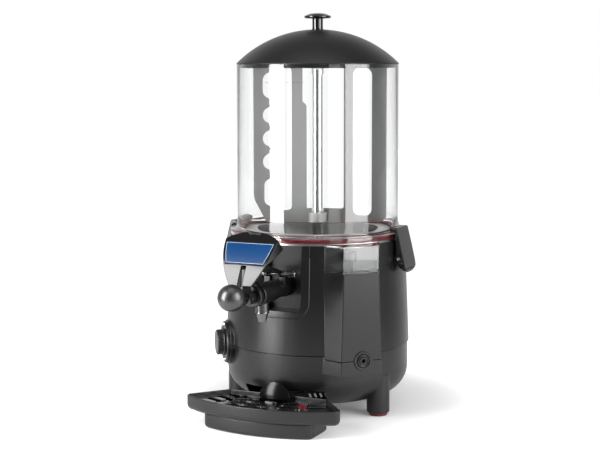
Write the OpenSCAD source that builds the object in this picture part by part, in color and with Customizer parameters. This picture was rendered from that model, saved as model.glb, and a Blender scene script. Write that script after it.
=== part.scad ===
// Countertop hot drink dispenser: a round heated base with a stirred clear bowl, a lever tap
// under a hood, a water box with a clear cover, and a drip tray that stands in front.
// Millimetres. The origin is on the floor, on the axis of the bowl. -Y is the front, +Z is up.

/* [Lower casing] */
// Outer radius of the lower casing
base_r = 134.7; // [128:0.1:145]
// Height of the flat underside above the floor
belly_z = 20; // [16:0.5:30]
// Radius of the curve between the side and the underside
belly_round = 41; // [25:1:50]
// Height of the seam between the two casings
seam_z = 97.5; // [90:0.5:110]
// Gap seen at the seam
seam_gap = 0.6; // [0.4:0.1:1.2]
// Wall of both casings
casing_wall = 3; // [2:0.25:4]
// Radius of a leg
leg_r = 16.6; // [14:0.1:20]
// Distance of the legs' axes in from the side
leg_inset = 15.7; // [14:0.1:20]
// Angle of the front legs, from the front
front_leg_angle = 71.5; // [60:0.5:85]
// Angle of the rear legs, from the front
rear_leg_angle = 152; // [130:1:160]
// Radius of a rubber foot
foot_r = 13.5; // [9:0.5:14]
// Height of a rubber foot below its leg
foot_h = 3.5; // [3:0.5:8]
// Width of the mouth that takes the tray's tongue
mouth_w = 124; // [90:1:140]
// Top of the mouth
mouth_top = 46; // [40:1:55]
// Radius of the opening in the underside
hatch_r = 78; // [60:1:85]
// Number of cooling slots on each side of the back
vent_count = 6; // [3:1:8]

/* [Upper casing] */
// How far the upper casing stands out over the lower one
hem_out = 2.1; // [0.5:0.1:6]
// Outer radius at the deck
neck_r = 130.6; // [128:0.1:140]
// Height of the deck
deck_z = 236; // [225:1:260]
// Thickness of the deck
deck_t = 4; // [3:0.5:6]
// Width of the niche behind the tap
niche_w = 62; // [50:1:72]
// Height of the niche's floor
niche_z = 159.5; // [150:0.5:172]
// Distance of the niche's back from the axis
niche_back = 110; // [108:0.5:118]
// Width of the raised frame around the niche
niche_frame = 12; // [6:0.5:16]
// How far the frame stands out
niche_frame_out = 1; // [0.5:0.1:2]
// Height of the frame below the niche
niche_sill = 9.5; // [5:0.5:14]

/* [Water box] */
// Angle of the water box, from the front
box_angle = 46.8; // [44:0.2:52]
// How far its outer face stands out from the casing
box_proud = 20.2; // [16:0.2:28]
// Width of its outer face, at the ledge
box_w = 56; // [50:0.2:62]
// Extra width at its lower end
box_flare = 8; // [0:0.5:12]
// Slope of its sides, as width lost per distance outwards
box_splay = 0.47; // [0.3:0.01:0.6]
// Height of its lower end
box_z = 72; // [66:0.5:76]
// Height of the ledge under the clear cover
ledge_z = 217; // [205:0.5:222]
// Height of the clear cover
cover_h = 38; // [25:0.5:44]
// Wall of the clear cover
cover_wall = 2.5; // [1.5:0.25:3.5]
// Radius of the level float
float_r = 8; // [6:0.5:10]
// Height of the drain plug's axis, on the water box's seam
drain_z = 93; // [88:0.5:96]
// Radius of the drain plug
drain_r = 9; // [7:0.5:10]
// Radius of the ring around the drain plug
drain_ring_r = 13.4; // [12:0.1:14]
// How far the drain is set off to the right
drain_side = 2.5; // [0:0.5:6]
// How far the filler slot is centred from the float
filler_shift = 10; // [8:0.5:12]

/* [Heated tank] */
// Thickness of the steel sheet
sheet = 1.2; // [0.8:0.1:2]
// Outer radius of the drink tank
tank_r = 93; // [85:0.5:97]
// Outer radius of the water jacket
jacket_r = 103; // [99:0.5:104.5]
// Height of the water jacket's floor
jacket_z = 128; // [124:1:140]
// Radius of the bore that leads to the tap
outlet_bore_r = 8; // [6:0.5:8.5]
// Radius of the heating ring, at the middle of its tube
heater_r = 70; // [50:1:85]
// Radius of the heating tube
heater_tube_r = 4; // [3:0.25:5]

/* [Bowl] */
// Outer radius of the bowl
bowl_r = 119; // [116:0.25:121]
// Wall of the bowl
bowl_wall = 2.8; // [2:0.1:4]
// Height of the bowl above its flange
bowl_h = 240; // [180:5:300]
// Outer radius of the bowl's flange
flange_r = 129; // [127:0.25:130]
// Thickness of the flange
flange_t = 4; // [3:0.5:6]
// Depth of the flange's skirt
flange_skirt = 19; // [10:0.5:20]
// Height of the red seal under the bowl
seal_h = 23.6; // [20:0.1:28]

/* [Lid] */
// Height of the dome above the bowl
dome_h = 49; // [35:1:60]
// Thickness of the lid
lid_t = 3; // [2:0.25:4]
// Depth of the lid's skirt inside the bowl
lid_skirt = 6; // [4:0.5:10]
// Height of the lid's knob
lid_knob_h = 24; // [18:0.5:32]
// Radius of the knob's cap
lid_knob_r = 19.8; // [15:0.1:25]
// Radius of the knob's stem
lid_stem_r = 7.9; // [6:0.1:10]

/* [Agitator] */
// Outer radius of the column around the drive shaft
column_r = 7.6; // [6.5:0.1:9]
// Radius of the drive shaft
shaft_r = 4; // [3:0.1:4.5]
// Thickness of the agitator's sheet
blade_t = 2; // [1.5:0.1:3]
// Reach of the pierced blade
left_reach = 96; // [85:0.5:104]
// Reach of the plain blade
right_reach = 103; // [90:0.5:108]
// Angle that each blade is folded out of flat
blade_fold = 11; // [0:1:20]
// Radius of the holes in the pierced blade
hole_r = 11.5; // [8:0.5:12.5]
// Spacing of the holes
hole_pitch = 33.3; // [28:0.1:36]
// Depth that the stirring fingers reach into the tank
finger_h = 72; // [40:1:76]

/* [Latches] */
// Width of a latch
latch_w = 45; // [30:0.5:50]
// Height of the latch's pin below the top of the flange
latch_drop = 39; // [34:0.5:42]
// Distance of the latch's pin from the axis
latch_out = 137; // [136.5:0.1:139]

/* [Tap] */
// Height of the tap's axis
tap_z = 193; // [188:0.5:200]
// Distance of the tap's front end from the axis
tap_front = 219; // [212:0.5:224]
// Radius of the tap at its front end
tap_r = 15.5; // [14:0.1:17]
// Radius of the tap at the niche
tap_root_r = 13; // [12.5:0.1:14]
// Radius of the piston's bore
piston_r = 9; // [8:0.1:9.5]
// Distance of the nozzle from the axis
nozzle_out = 187; // [183:0.5:190]
// Radius of the nozzle
nozzle_r = 9.3; // [7:0.1:10]
// Height of the nozzle's tip
nozzle_z = 154; // [145:1:160]
// Height of the lever's pin above the tap's axis
lever_l = 45; // [42:0.5:50]
// Thickness of the lever
lever_t = 5.5; // [4:0.25:6]
// Radius of the ball
ball_r = 18; // [12:0.5:20]
// Distance of the ball's centre from the lever's pin, outwards
ball_reach = 48; // [43:0.5:60]
// Height of the ball's centre above the tap's axis
ball_rise = 8; // [4:0.5:9]
// Radius of the hood's curved front
hood_r = 180; // [150:5:240]
// Width of the hood at its lower end
hood_low_w = 33; // [28:1:44]
// Width of the hood at its shoulders
hood_w = 78.6; // [70:0.2:90]
// Length of the front below the label
hood_chin = 29; // [20:0.5:31]
// Length of the front from the label's foot to the shoulders
hood_l = 39.5; // [36:0.5:46]
// Radius of its bowed sides
hood_bow_r = 134; // [100:2:200]
// Rise of the arched top above the shoulders
hood_arch = 13.5; // [8:0.5:18]
// Depth of the hood's sides
hood_side = 20; // [10:0.5:24]
// Wall of the hood
hood_t = 2.5; // [2:0.25:3]
// Thickness of the label plate on the hood
label_t = 0.8; // [0.4:0.1:1.5]

/* [Thermostat] */
// Angle of the thermostat, from the front
knob_angle = -52.5; // [-58:0.5:-48]
// Radius of the knob
knob_r = 19.8; // [14:0.1:22]
// Height of the knob
knob_h = 11.5; // [8:0.5:18]
// Radius of the plate behind the knob
bezel_r = 31; // [28:0.5:32]
// How far the plate's face stands out from the lower casing
bezel_proud = 8.3; // [6.5:0.1:11]

/* [Drip tray] */
// Radius of the tray's front edge, about the axis of the bowl
tray_r = 227; // [215:0.5:240]
// Angle of the tray's tips, from the front
tip_angle = 32.4; // [28:0.2:35]
// Distance of the tray's back edge from the axis
tray_back = 137; // [136:0.5:142]
// Half width of the back edge
tray_back_half = 76; // [70:1:84]
// Height of the tray's rim
tray_h = 41; // [36:0.5:48]
// Height of the step in the tray's side
tray_step = 20; // [14:0.5:22]
// Radius of the tray's lower edge
tray_round = 8; // [4:0.5:9]
// Half width of the part below the step
tray_foot_half = 84; // [74:1:90]
// Wall of the tray
tray_wall = 2.5; // [2:0.25:3.5]
// Thickness of the grille
grille_t = 2.5; // [2:0.25:4]
// Depth of the grille's plate below the rim
grille_sunk = 6.5; // [5:0.5:8]
// Spacing of the grille's curved rows
grille_pitch = 18.3; // [16:0.1:20]
// Radius of the float in the tray
tray_float_r = 6; // [5:0.25:7]

/* [Hidden] */

$fn = 96;
black = "#1b1b1c";
steel = "silver";
red = "#a8242c";
eps = 0.01;
slack = 0.3;
running = 0.05;

// Sizes that follow from those above
hem_r = base_r + hem_out;
box_out = hem_r + box_proud;
bezel_out = base_r + bezel_proud;
leg_circle = base_r - leg_inset;
jacket_rim_z = deck_z + sheet;
tank_rim_z = jacket_rim_z + sheet;
flange_under = tank_rim_z + seal_h;
flange_top = flange_under + flange_t;
bowl_top = flange_top + bowl_h;
lid_lip = 1.5;
dome_base = bowl_top + lid_lip;
dome_r = (pow(bowl_r, 2) + pow(dome_h, 2)) / (2 * dome_h);
dome_centre = dome_base + dome_h - dome_r;
dome_flat_r = lid_stem_r + 2;
dome_flat = dome_centre + sqrt(pow(dome_r, 2) - pow(dome_flat_r, 2));
leg_bottom = foot_h;
leg_angles = [-rear_leg_angle, -front_leg_angle, front_leg_angle, rear_leg_angle];
tank_floor = tap_z - outlet_bore_r - 1;
cap_top = bowl_top - 7;
cap_h = 15;
column_top = cap_top - 9;
column_bore_r = shaft_r + 1.5;
shaft_top = cap_top + 10;
pivot_out = tap_front + 12;
pivot_z = tap_z + lever_l;
nose_out = pivot_out + 10.5;
nose_z = pivot_z + 2;
nose_tilt = 31;
hood_axis_out = nose_out - hood_r * cos(nose_tilt);
hood_axis_z = nose_z - hood_r * sin(nose_tilt);
latch_z = flange_top - latch_drop;
ball_out = pivot_out + ball_reach;
lid_screw_r = 2.5;
seal_wire_r = 0.95;
boss_out = bezel_out - 5;
cover_top = ledge_z + cover_h;

// A point at distance r and angle a from the front, seen from above
function polar(r, a) = [r * sin(a), -r * cos(a)];
// Outer radius of the upper casing at height z
function casing_r(z) = hem_r + (neck_r - hem_r) * (z - seam_z) / (deck_z - seam_z);
// Height of the lid's outer surface at radius r
function dome_z(r, drop = 0) = dome_centre + sqrt(pow(dome_r - drop, 2) - pow(r, 2));
// Points of an arc about c, from angle a to angle b
function arc(c, r, a, b, n) = [for (i = [0:n]) c + r * [cos(a + (b - a) * i / n), sin(a + (b - a) * i / n)]];

// A slab as wide as w, from an outline drawn as [distance to the front, height]
module slab(w) {
  rotate([90, 0, -90])
    translate([0, 0, -w / 2])
      linear_extrude(w)
        children();
}

// A round piece on an axis that points to the front, from a profile of [radius, distance]
module spool(height) {
  translate([0, 0, height])
    rotate([90, 0, 0])
      rotate_extrude()
        children();
}

// A rod or a bore that points to the front
module rod(r, from, to, height = 0) {
  translate([0, -from, height])
    rotate([90, 0, 0])
      cylinder(r = r, h = to - from);
}

// A ring about the axis of the bowl
module ring(r_out, r_in, from, to) {
  translate([0, 0, from])
    difference() {
      cylinder(r = r_out, h = to - from);
      translate([0, 0, -1])
        cylinder(r = r_in, h = to - from + 2);
    }
}

// A slot with round ends, length l between the centres, along X
module slot2d(l, r) {
  square([l, 2 * r], center = true);
  for (s = [-1, 1])
    translate([s * l / 2, 0])
      circle(r = r, $fn = 32);
}

module mirrored() {
  children();
  mirror([1, 0, 0])
    children();
}

// Casings

// Half section of both casings, grown inwards by the wall
module casing_profile(inset) {
  r = base_r - inset;
  round_r = belly_round - inset;
  floor_z = belly_z + inset;
  polygon(concat(
    [[0, floor_z]],
    arc([r - round_r, floor_z + round_r], round_r, -90, 0, 16),
    [
      [r, seam_z - seam_gap / 2], [hem_r - inset, seam_z - seam_gap / 2],
      [neck_r - inset, deck_z - (inset > 0 ? deck_t : 0)],
      [0, deck_z - (inset > 0 ? deck_t : 0)]
    ]
  ));
}

// Plan of the water box at its outer width w, with its root inside the casing
module box_plan(inset, w) {
  out = box_out - inset;
  half = w / 2 - inset * (sqrt(1 + pow(box_splay, 2)) - box_splay);
  back = base_r - 34.7;
  back_half = half + box_splay * (out - back);
  round_r = max(2.5 - inset, 0.5);
  polygon(concat(
    [[-back_half, -back]],
    arc([-half + round_r, -out + round_r], round_r, 205, 270, 6),
    arc([half - round_r, -out + round_r], round_r, 270, 335, 6),
    [[back_half, -back]]
  ));
}

// The box with upright walls, from height a to height b
module box_prism(inset, a, b) {
  rotate([0, 0, box_angle])
    translate([0, 0, a])
      linear_extrude(b - a)
        box_plan(inset, box_w);
}

// The box from height a to height b, widening downwards
module box_form(inset, a, b) {
  rotate([0, 0, box_angle])
    hull() {
      translate([0, 0, a])
        linear_extrude(eps)
          box_plan(inset, box_w + box_flare);
      translate([0, 0, b - eps])
        linear_extrude(eps)
          box_plan(inset, box_w);
    }
}

module knob_boss(r, from, to) {
  rotate([0, 0, knob_angle])
    rod(r, from, to, seam_z);
}

// Outline of the niche, as seen from the front; grow makes it larger all round
module niche_plan(grow, top) {
  w = niche_w + 2 * grow;
  low = niche_z - min(grow, niche_sill);
  round_r = 10 + grow;
  translate([-w / 2 + round_r, low])
    square([w - 2 * round_r, top - low]);
  translate([-w / 2, low + round_r])
    square([w, top - low - round_r]);
  for (s = [-1, 1])
    translate([s * (w / 2 - round_r), low + round_r])
      circle(r = round_r, $fn = 48);
}

module niche_block(grow, from, to, top) {
  translate([0, -from, 0])
    rotate([90, 0, 0])
      linear_extrude(to - from)
        niche_plan(grow, top);
}

// The two casings before they are parted at the seam
module casing_solid() {
  union() {
    rotate_extrude($fn = 144)
      casing_profile(0);
    box_form(0, box_z, ledge_z);
    knob_boss(bezel_r + 2, boss_out - 28, boss_out);
    for (a = leg_angles)
      translate(polar(leg_circle, a))
        leg();
    for (a = [-90, 90])
      rotate([0, 0, a])
        latch_bracket();
    intersection() {
      niche_block(niche_frame, niche_back, base_r + 10, deck_z - 0.5);
      niche_frame_skin();
    }
  }
}

// A skin just proud of the upper casing, for the frame around the niche
module niche_frame_skin() {
  rotate_extrude($fn = 144)
    polygon([
      [hem_r - casing_wall, seam_z], [hem_r + niche_frame_out, seam_z],
      [neck_r + niche_frame_out, deck_z], [neck_r - casing_wall, deck_z]
    ]);
}

module leg() {
  chamfer = 2;
  translate([0, 0, leg_bottom])
    cylinder(r1 = leg_r - chamfer, r2 = leg_r, h = chamfer, $fn = 64);
  translate([0, 0, leg_bottom + chamfer])
    cylinder(r = leg_r, h = belly_z + belly_round - leg_bottom - chamfer, $fn = 64);
}

// Inside of the casings
module casing_hollow() {
  difference() {
    union() {
      rotate_extrude($fn = 144)
        casing_profile(casing_wall);
      box_form(casing_wall, box_z + casing_wall, ledge_z - casing_wall);
      translate([0, 0, deck_z - deck_t - 1])
        cylinder(r = jacket_r + 3, h = deck_t + 2);
    }
    niche_block(casing_wall, niche_back, base_r + 20, deck_z + 1);
    for (a = leg_angles)
      rotate([0, 0, a]) {
        translate([0, -post_circle, 0])
          cylinder(r = post_r, h = post_top);
        translate([-1.5, -hem_r, 0])
          cube([3, hem_r - post_circle, post_top]);
      }
  }
}

// Screw posts that hold the casings together, one above each leg
post_r = 5;
post_circle = leg_circle - 3;
post_top = seam_z + 22;
screw_r = 2;

module casing_cuts() {
  // Niche behind the tap, open at the top
  niche_block(0, niche_back - 1, base_r + 20, deck_z + 20);
  translate([-niche_w / 2 - casing_wall + 0.5, -niche_back, niche_z - casing_wall])
    cube([niche_w + 2 * casing_wall - 1, casing_wall + 3, deck_z]);
  // Filler slot in the ledge of the water box, and the thermostat's hole
  rotate([0, 0, box_angle])
    translate([0, -well_out, ledge_z - 2 * casing_wall])
      linear_extrude(4 * casing_wall)
        slot2d(2 * filler_shift, float_r + 1);
  knob_boss(15, boss_out - 33, bezel_out);
  // Mouth for the tongue of the drip tray
  translate([-mouth_w / 2, -base_r - 5, belly_z + casing_wall + 0.5])
    cube([mouth_w, 45, mouth_top - belly_z - casing_wall - 0.5]);
  // Opening in the underside and the holes for its screws
  translate([0, 0, belly_z - 1])
    cylinder(r = hatch_r, h = casing_wall + 2);
  for (a = [45:90:315])
    translate(polar(cover_screw_circle, a))
      translate([0, 0, belly_z - 1])
        cylinder(r = screw_r + running, h = casing_wall + 2, $fn = 32);
  // Cooling slots and the cable hole at the back
  for (s = [-1, 1], i = [0:vent_count - 1])
    rotate([0, 0, 180 + s * (20 + 5 * i)])
      translate([-1.5, -base_r - 3, seam_z - 30])
        cube([3, 12, 20]);
  rotate([0, 0, 180])
    rod(gland_r + running, base_r - 10, base_r + 5, gland_z);
  // Holes for the feet and for the screws above them
  for (a = leg_angles)
    translate(polar(leg_circle, a)) {
      translate([0, 0, leg_bottom - 1])
        cylinder(r = foot_stud_r, h = foot_stud_h + 1, $fn = 48);
    }
  for (a = leg_angles)
    translate(polar(post_circle, a))
      translate([0, 0, belly_z + belly_round - 15])
        cylinder(r = screw_r + 0.1, h = post_top - belly_z - belly_round + 10, $fn = 32);
  // Bores of the latch pins
  mirrored()
    rotate([0, 0, 90])
      translate([-latch_w / 2, -latch_out, latch_z])
        rotate([0, 90, 0])
          cylinder(r = latch_pin_r + running, h = latch_w, $fn = 48);
}

module casing() {
  difference() {
    casing_solid();
    casing_hollow();
    casing_cuts();
    on_drain()
      rod(drain_r + slack, box_out - 10, box_out + 5, drain_z);
  }
}

// All that lies above the seam, which runs lower on the water box; gap is left open below it
module above_seam(gap) {
  translate([-250, -250, seam_z - gap])
    cube([500, 500, 300]);
  difference() {
    rotate([0, 0, box_angle])
      translate([-60, -box_out - 20, drain_z - gap])
        cube([120, box_out, 60]);
    translate([0, 0, drain_z - 10])
      cylinder(r = hem_r + 0.2 - gap, h = 100);
  }
}

module lower_casing() {
  color(black)
    difference() {
      casing();
      above_seam(seam_gap);
    }
}

module upper_casing() {
  color(black)
    intersection() {
      casing();
      above_seam(0);
    }
}

foot_stud_r = 5;
foot_stud_h = 9;

module rubber_feet() {
  color(red)
    for (a = leg_angles)
      translate(polar(leg_circle, a)) {
        cylinder(r1 = foot_r - 1, r2 = foot_r, h = 1, $fn = 64);
        translate([0, 0, 1])
          cylinder(r = foot_r, h = foot_h - 1, $fn = 64);
        translate([0, 0, foot_h])
          cylinder(r = foot_stud_r, h = foot_stud_h - slack, $fn = 48);
      }
}

cover_lap = 8;
cover_screw_circle = hatch_r + cover_lap / 2;

module bottom_cover() {
  color(black)
    translate([0, 0, belly_z - sheet])
      linear_extrude(sheet)
        difference() {
          circle(r = hatch_r + cover_lap);
          for (a = [0:60:300])
            rotate(a)
              for (i = [-2:2])
                translate([45, i * 8])
                  slot2d(24, 1.8);
          for (a = [45:90:315])
            translate(polar(cover_screw_circle, a))
              circle(r = screw_r + 0.1, $fn = 32);
        }
}

module cover_screws() {
  head_r = 3.8;
  color(steel)
    for (a = [45:90:315])
      translate(concat(polar(cover_screw_circle, a), [belly_z - sheet])) {
        translate([0, 0, -2])
          cylinder(r1 = head_r - 1.2, r2 = head_r, h = 2, $fn = 40);
        cylinder(r = screw_r, h = sheet + casing_wall, $fn = 32);
      }
}

module casing_screws() {
  color(steel)
    for (a = leg_angles)
      translate(concat(polar(post_circle, a), [belly_z + belly_round - 14]))
        cylinder(r = screw_r, h = post_top - belly_z - belly_round + 8, $fn = 32);
}

gland_r = 8;
gland_z = 55;

module cable_gland() {
  color(black)
    rotate([0, 0, 180])
      difference() {
        union() {
          rod(gland_r, base_r - casing_wall - 4, base_r, gland_z);
          rod(gland_r + 3, base_r, base_r + 3, gland_z);
          spool(gland_z)
            polygon([
              [0, base_r + 3], [gland_r + 1, base_r + 3],
              [gland_r - 2, base_r + 13], [0, base_r + 13]
            ]);
        }
        rod(3.6, base_r - 10, base_r + 20, gland_z);
      }
}

// Heated tanks and drive

outlet_tube_r = outlet_bore_r + 2.5;
outlet_end = niche_back + 18;

module jacket_tank() {
  color(steel)
    difference() {
      union() {
        translate([0, 0, jacket_z])
          cylinder(r = jacket_r, h = deck_z - jacket_z + eps);
        translate([0, 0, deck_z])
          cylinder(r = neck_r - 4, h = sheet);
      }
      translate([0, 0, jacket_z + sheet])
        cylinder(r = jacket_r - sheet, h = deck_z);
      translate([0, 0, jacket_z - 1])
        cylinder(r = column_r + running, h = sheet + 2);
      rod(outlet_tube_r + running, jacket_r - 8, jacket_r + 8, tap_z);
      for (s = [-1, 1])
        translate([s * heater_leg, heater_leg_y, jacket_z - 1])
          cylinder(r = heater_sleeve_r + running, h = sheet + 2, $fn = 40);
      on_drain()
        translate([0, -drain_elbow, jacket_z - 1])
          cylinder(r = drain_pipe_bore, h = sheet + 2, $fn = 40);
      rotate([0, 0, box_angle])
        rod(well_pipe_r - 1, jacket_r - 5, jacket_r + 5, well_pipe_z);
    }
}

module product_tank() {
  color(steel)
    difference() {
      union() {
        translate([0, 0, tank_floor - sheet])
          cylinder(r = tank_r, h = jacket_rim_z - tank_floor + sheet + eps);
        translate([0, 0, jacket_rim_z])
          cylinder(r = neck_r - 6, h = sheet);
        rod(outlet_tube_r, tank_r - 3, outlet_end, tap_z);
      }
      translate([0, 0, tank_floor])
        cylinder(r = tank_r - sheet, h = deck_z);
      rod(outlet_bore_r, tank_r - 5, outlet_end + 1, tap_z);
      translate([0, 0, tank_floor - sheet - 1])
        cylinder(r = column_r + running, h = sheet + 2);
    }
}

heater_leg = 12;
heater_leg_y = sqrt(pow(heater_r, 2) - pow(heater_leg, 2));
heater_z = jacket_z + 14;
heater_sleeve_r = heater_tube_r + 1;

module heater_ring() {
  color("#6d6a66") {
    translate([0, 0, heater_z])
      rotate_extrude()
        translate([heater_r, 0])
          circle(r = heater_tube_r, $fn = 32);
    for (s = [-1, 1])
      translate([s * heater_leg, heater_leg_y, jacket_z - 14])
        cylinder(r = heater_sleeve_r, h = heater_z - jacket_z + 14, $fn = 40);
  }
}

module column_tube() {
  foot_h = 2;
  color(steel)
    difference() {
      union() {
        translate([0, 0, jacket_z - 6])
          cylinder(r = column_r, h = column_top - jacket_z + 6);
        translate([0, 0, tank_floor])
          cylinder(r = column_r + 9, h = foot_h);
      }
      translate([0, 0, jacket_z - 7])
        cylinder(r = column_bore_r, h = column_top - jacket_z + 8);
      // Bearings that carry the shaft at both ends are pressed into the tube
      translate([0, 0, column_top - 20])
        cylinder(r = column_bore_r, h = 21);
    }
}

gearbox_top = jacket_z - 8;
gearbox_h = 28;

module gear_motor() {
  box = [92, 66];
  motor_r = 28;
  motor_h = 54;
  color("#53565a") {
    difference() {
      union() {
        translate([0, 0, gearbox_top - gearbox_h])
          linear_extrude(gearbox_h)
            rounded_box(box, 8);
        translate([18, 0, gearbox_top - gearbox_h - motor_h])
          cylinder(r = motor_r, h = motor_h);
        for (i = [0:3])
          translate([18, 0, gearbox_top - gearbox_h - motor_h + 8 + 11 * i])
            cylinder(r = motor_r + 2, h = 3);
      }
      translate([0, 0, gearbox_top - gearbox_h + 4])
        cylinder(r = shaft_r + running, h = gearbox_h);
    }
  }
}

module rounded_box(size, r) {
  square([size[0] - 2 * r, size[1]], center = true);
  square([size[0], size[1] - 2 * r], center = true);
  for (x = [-1, 1], y = [-1, 1])
    translate([x * (size[0] / 2 - r), y * (size[1] / 2 - r)])
      circle(r = r, $fn = 40);
}

module motor_bracket() {
  plate_r = 62;
  color(steel)
    difference() {
      union() {
        translate([0, 0, gearbox_top])
          cylinder(r = plate_r, h = 2);
        for (a = [90:120:330])
          translate(concat(polar(plate_r - 8, a), [gearbox_top + 2]))
            cylinder(r = 5, h = jacket_z - gearbox_top - 2, $fn = 40);
      }
      translate([0, 0, gearbox_top - 1])
        cylinder(r = column_r + 2, h = 10);
    }
}

module drive_shaft() {
  color(steel)
    translate([0, 0, gearbox_top - gearbox_h + 4.5])
      cylinder(r = shaft_r, h = shaft_top - gearbox_top + gearbox_h - 4.5, $fn = 48);
}

// Cup that turns on the top of the column and carries the agitator
module drive_cap() {
  lip_r = 11.2;
  color(steel)
    difference() {
      translate([0, 0, cap_top])
        rotate_extrude()
          polygon([
            [0, -cap_h], [column_r + 1.2, -cap_h], [column_r + 1.2, -8],
            [lip_r, -1.5], [lip_r, 0], [0, 0]
          ]);
      translate([0, 0, cap_top - cap_h - 1])
        cylinder(r = column_r + running, h = column_top - cap_top + cap_h + 1.5);
      translate([0, 0, cap_top - cap_h - 1])
        cylinder(r = shaft_r, h = cap_h + 2, $fn = 48);
    }
}

agitator_top = cap_top + 6.5;
agitator_low = flange_top + 5;
bar_h = 21;
bush_r = 13.8;
bush_z = agitator_low + 3;
bush_h = 11.6;
top_hub_h = 2;

// Window in a blade, with round corners
module window2d(x0, x1, z0, z1, r) {
  translate([(x0 + x1) / 2, (z0 + z1) / 2])
    rounded_box([x1 - x0, z1 - z0], r);
}

module pierced_blade() {
  window_top = agitator_top - 11;
  step_z = flange_top + 174;
  hole_u = -left_reach * 0.735;
  mid_hole_z = agitator_low + 123;
  difference() {
    polygon(concat(
      [[0, agitator_top], [-left_reach, agitator_top]],
      [[-left_reach, agitator_low + 49]],
      arc([-left_reach + 30, agitator_low + 45], 30, 180, 215, 6),
      [[-left_reach + 20, agitator_low], [0, agitator_low]]
    ));
    // Gap between the blade and the column
    polygon([
      [1, agitator_low + bar_h], [-16.6, agitator_low + bar_h], [-16.6, step_z],
      [-22.8, step_z + 6], [-22.8, window_top + 2], [1, window_top + 2]
    ]);
    window2d(-left_reach + 40, -39, agitator_low + bar_h - 2, window_top, 6);
    for (i = [-1:1])
      translate([hole_u, mid_hole_z + i * hole_pitch])
        circle(r = hole_r, $fn = 48);
    translate([hole_u, mid_hole_z + 2 * hole_pitch + 9])
      rotate(90)
        slot2d(14, hole_r);
    translate([hole_u, mid_hole_z - 2 * hole_pitch - 11])
      rotate(90)
        slot2d(20, hole_r - 2);
  }
  finger_w = 16;
  translate([-68, agitator_low - finger_h])
    square([finger_w, finger_h + 1]);
}

module plain_blade() {
  window_top = agitator_top - 12;
  corner = 14;
  difference() {
    polygon(concat(
      [[0, agitator_low]],
      arc([right_reach - corner, agitator_low + corner], corner, -90, 0, 8),
      [[right_reach, agitator_top], [0, agitator_top]]
    ));
    window2d(-20, 39.5, agitator_low + bar_h, window_top + 2, 4);
    window2d(53.5, right_reach - 22, agitator_low + bar_h - 9, window_top, 9);
  }
  finger_w = 16;
  translate([54, agitator_low - finger_h])
    square([finger_w, finger_h + 1]);
}

rest_turn = 24;

module blade(fold) {
  rotate([0, 0, fold])
    translate([0, blade_t / 2, 0])
      rotate([90, 0, 0])
        linear_extrude(blade_t)
          children();
}

module agitator() {
  color(steel)
    rotate([0, 0, rest_turn])
      difference() {
        union() {
          blade(blade_fold)
            pierced_blade();
          blade(-blade_fold)
            plain_blade();
          translate([0, 0, cap_top])
            cylinder(r = 10.5, h = top_hub_h);
          translate([0, 0, bush_z - 2])
            cylinder(r = bush_r + 2, h = 2);
        }
        translate([0, 0, cap_top - 1])
          cylinder(r = shaft_r + running, h = 30, $fn = 48);
        translate([0, 0, cap_top + top_hub_h])
          cylinder(r = nut_r + slack, h = 30);
        translate([0, 0, cap_top - cap_h - 20])
          cylinder(r = 12.5, h = cap_h + 20);
        translate([0, 0, bush_z])
          cylinder(r = bush_r, h = bush_h);
        translate([0, 0, bush_z - 4])
          cylinder(r = column_r + 1, h = bar_h + 4);
      }
}

nut_r = 8;

module agitator_nut() {
  color(black)
    translate([0, 0, cap_top + top_hub_h])
      difference() {
        cylinder(r = nut_r, h = 8.5);
        translate([0, 0, -1])
          cylinder(r = shaft_r, h = 9, $fn = 48);
      }
}

module column_bush() {
  color("white")
    ring(bush_r, column_r + running, bush_z, bush_z + bush_h);
}

// Bowl, seal and lid

module bowl() {
  inner = bowl_r - bowl_wall;
  skirt_in = flange_r - 2.8;
  color("#dfe8ec", 0.35)
    rotate_extrude($fn = 144)
      polygon(concat(
        [
          [inner, flange_under], [skirt_in, flange_under],
          [skirt_in, flange_top - flange_skirt - flange_t],
          [flange_r, flange_top - flange_skirt - flange_t],
          [flange_r, flange_top - 1.5], [flange_r - 1.5, flange_top]
        ],
        [[bowl_r + 3, flange_top], [bowl_r + 2, flange_top + 11], [bowl_r, flange_top + 15]],
        [[bowl_r, bowl_top], [inner, bowl_top]]
      ));
}

module bowl_seal() {
  inner = bowl_r - bowl_wall - 4;
  outer = flange_r - 2.8 - slack;
  groove = 2;
  color(red)
    rotate_extrude($fn = 144)
      polygon([
        [inner, tank_rim_z], [outer, tank_rim_z], [outer, tank_rim_z + 7],
        [outer - groove, tank_rim_z + 8], [outer - groove, tank_rim_z + 11],
        [outer, tank_rim_z + 12], [outer, flange_under], [inner + 5, flange_under],
        [inner + 3, flange_under - 8], [inner, flange_under - 10]
      ]);
}

module lid() {
  inside = bowl_r - bowl_wall - 0.4;
  rim_r = bowl_r + 0.3;
  steps = 24;
  color(black)
    rotate_extrude($fn = 144)
      polygon(concat(
        [[lid_screw_r, dome_flat], [dome_flat_r, dome_flat]],
        [for (i = [1:steps]) let (r = dome_flat_r + (bowl_r - dome_flat_r) * i / steps) [r, dome_z(r)]],
        [[rim_r, dome_base - 0.4], [rim_r, bowl_top]],
        [[inside, bowl_top], [inside, bowl_top - lid_skirt], [inside - 2.5, bowl_top - lid_skirt]],
        [for (i = [steps:-1:1]) let (r = (inside - 2.5) * i / steps) [r, dome_z(r, lid_t)]],
        [[lid_screw_r, dome_z(0, lid_t)]]
      ));
}

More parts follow.
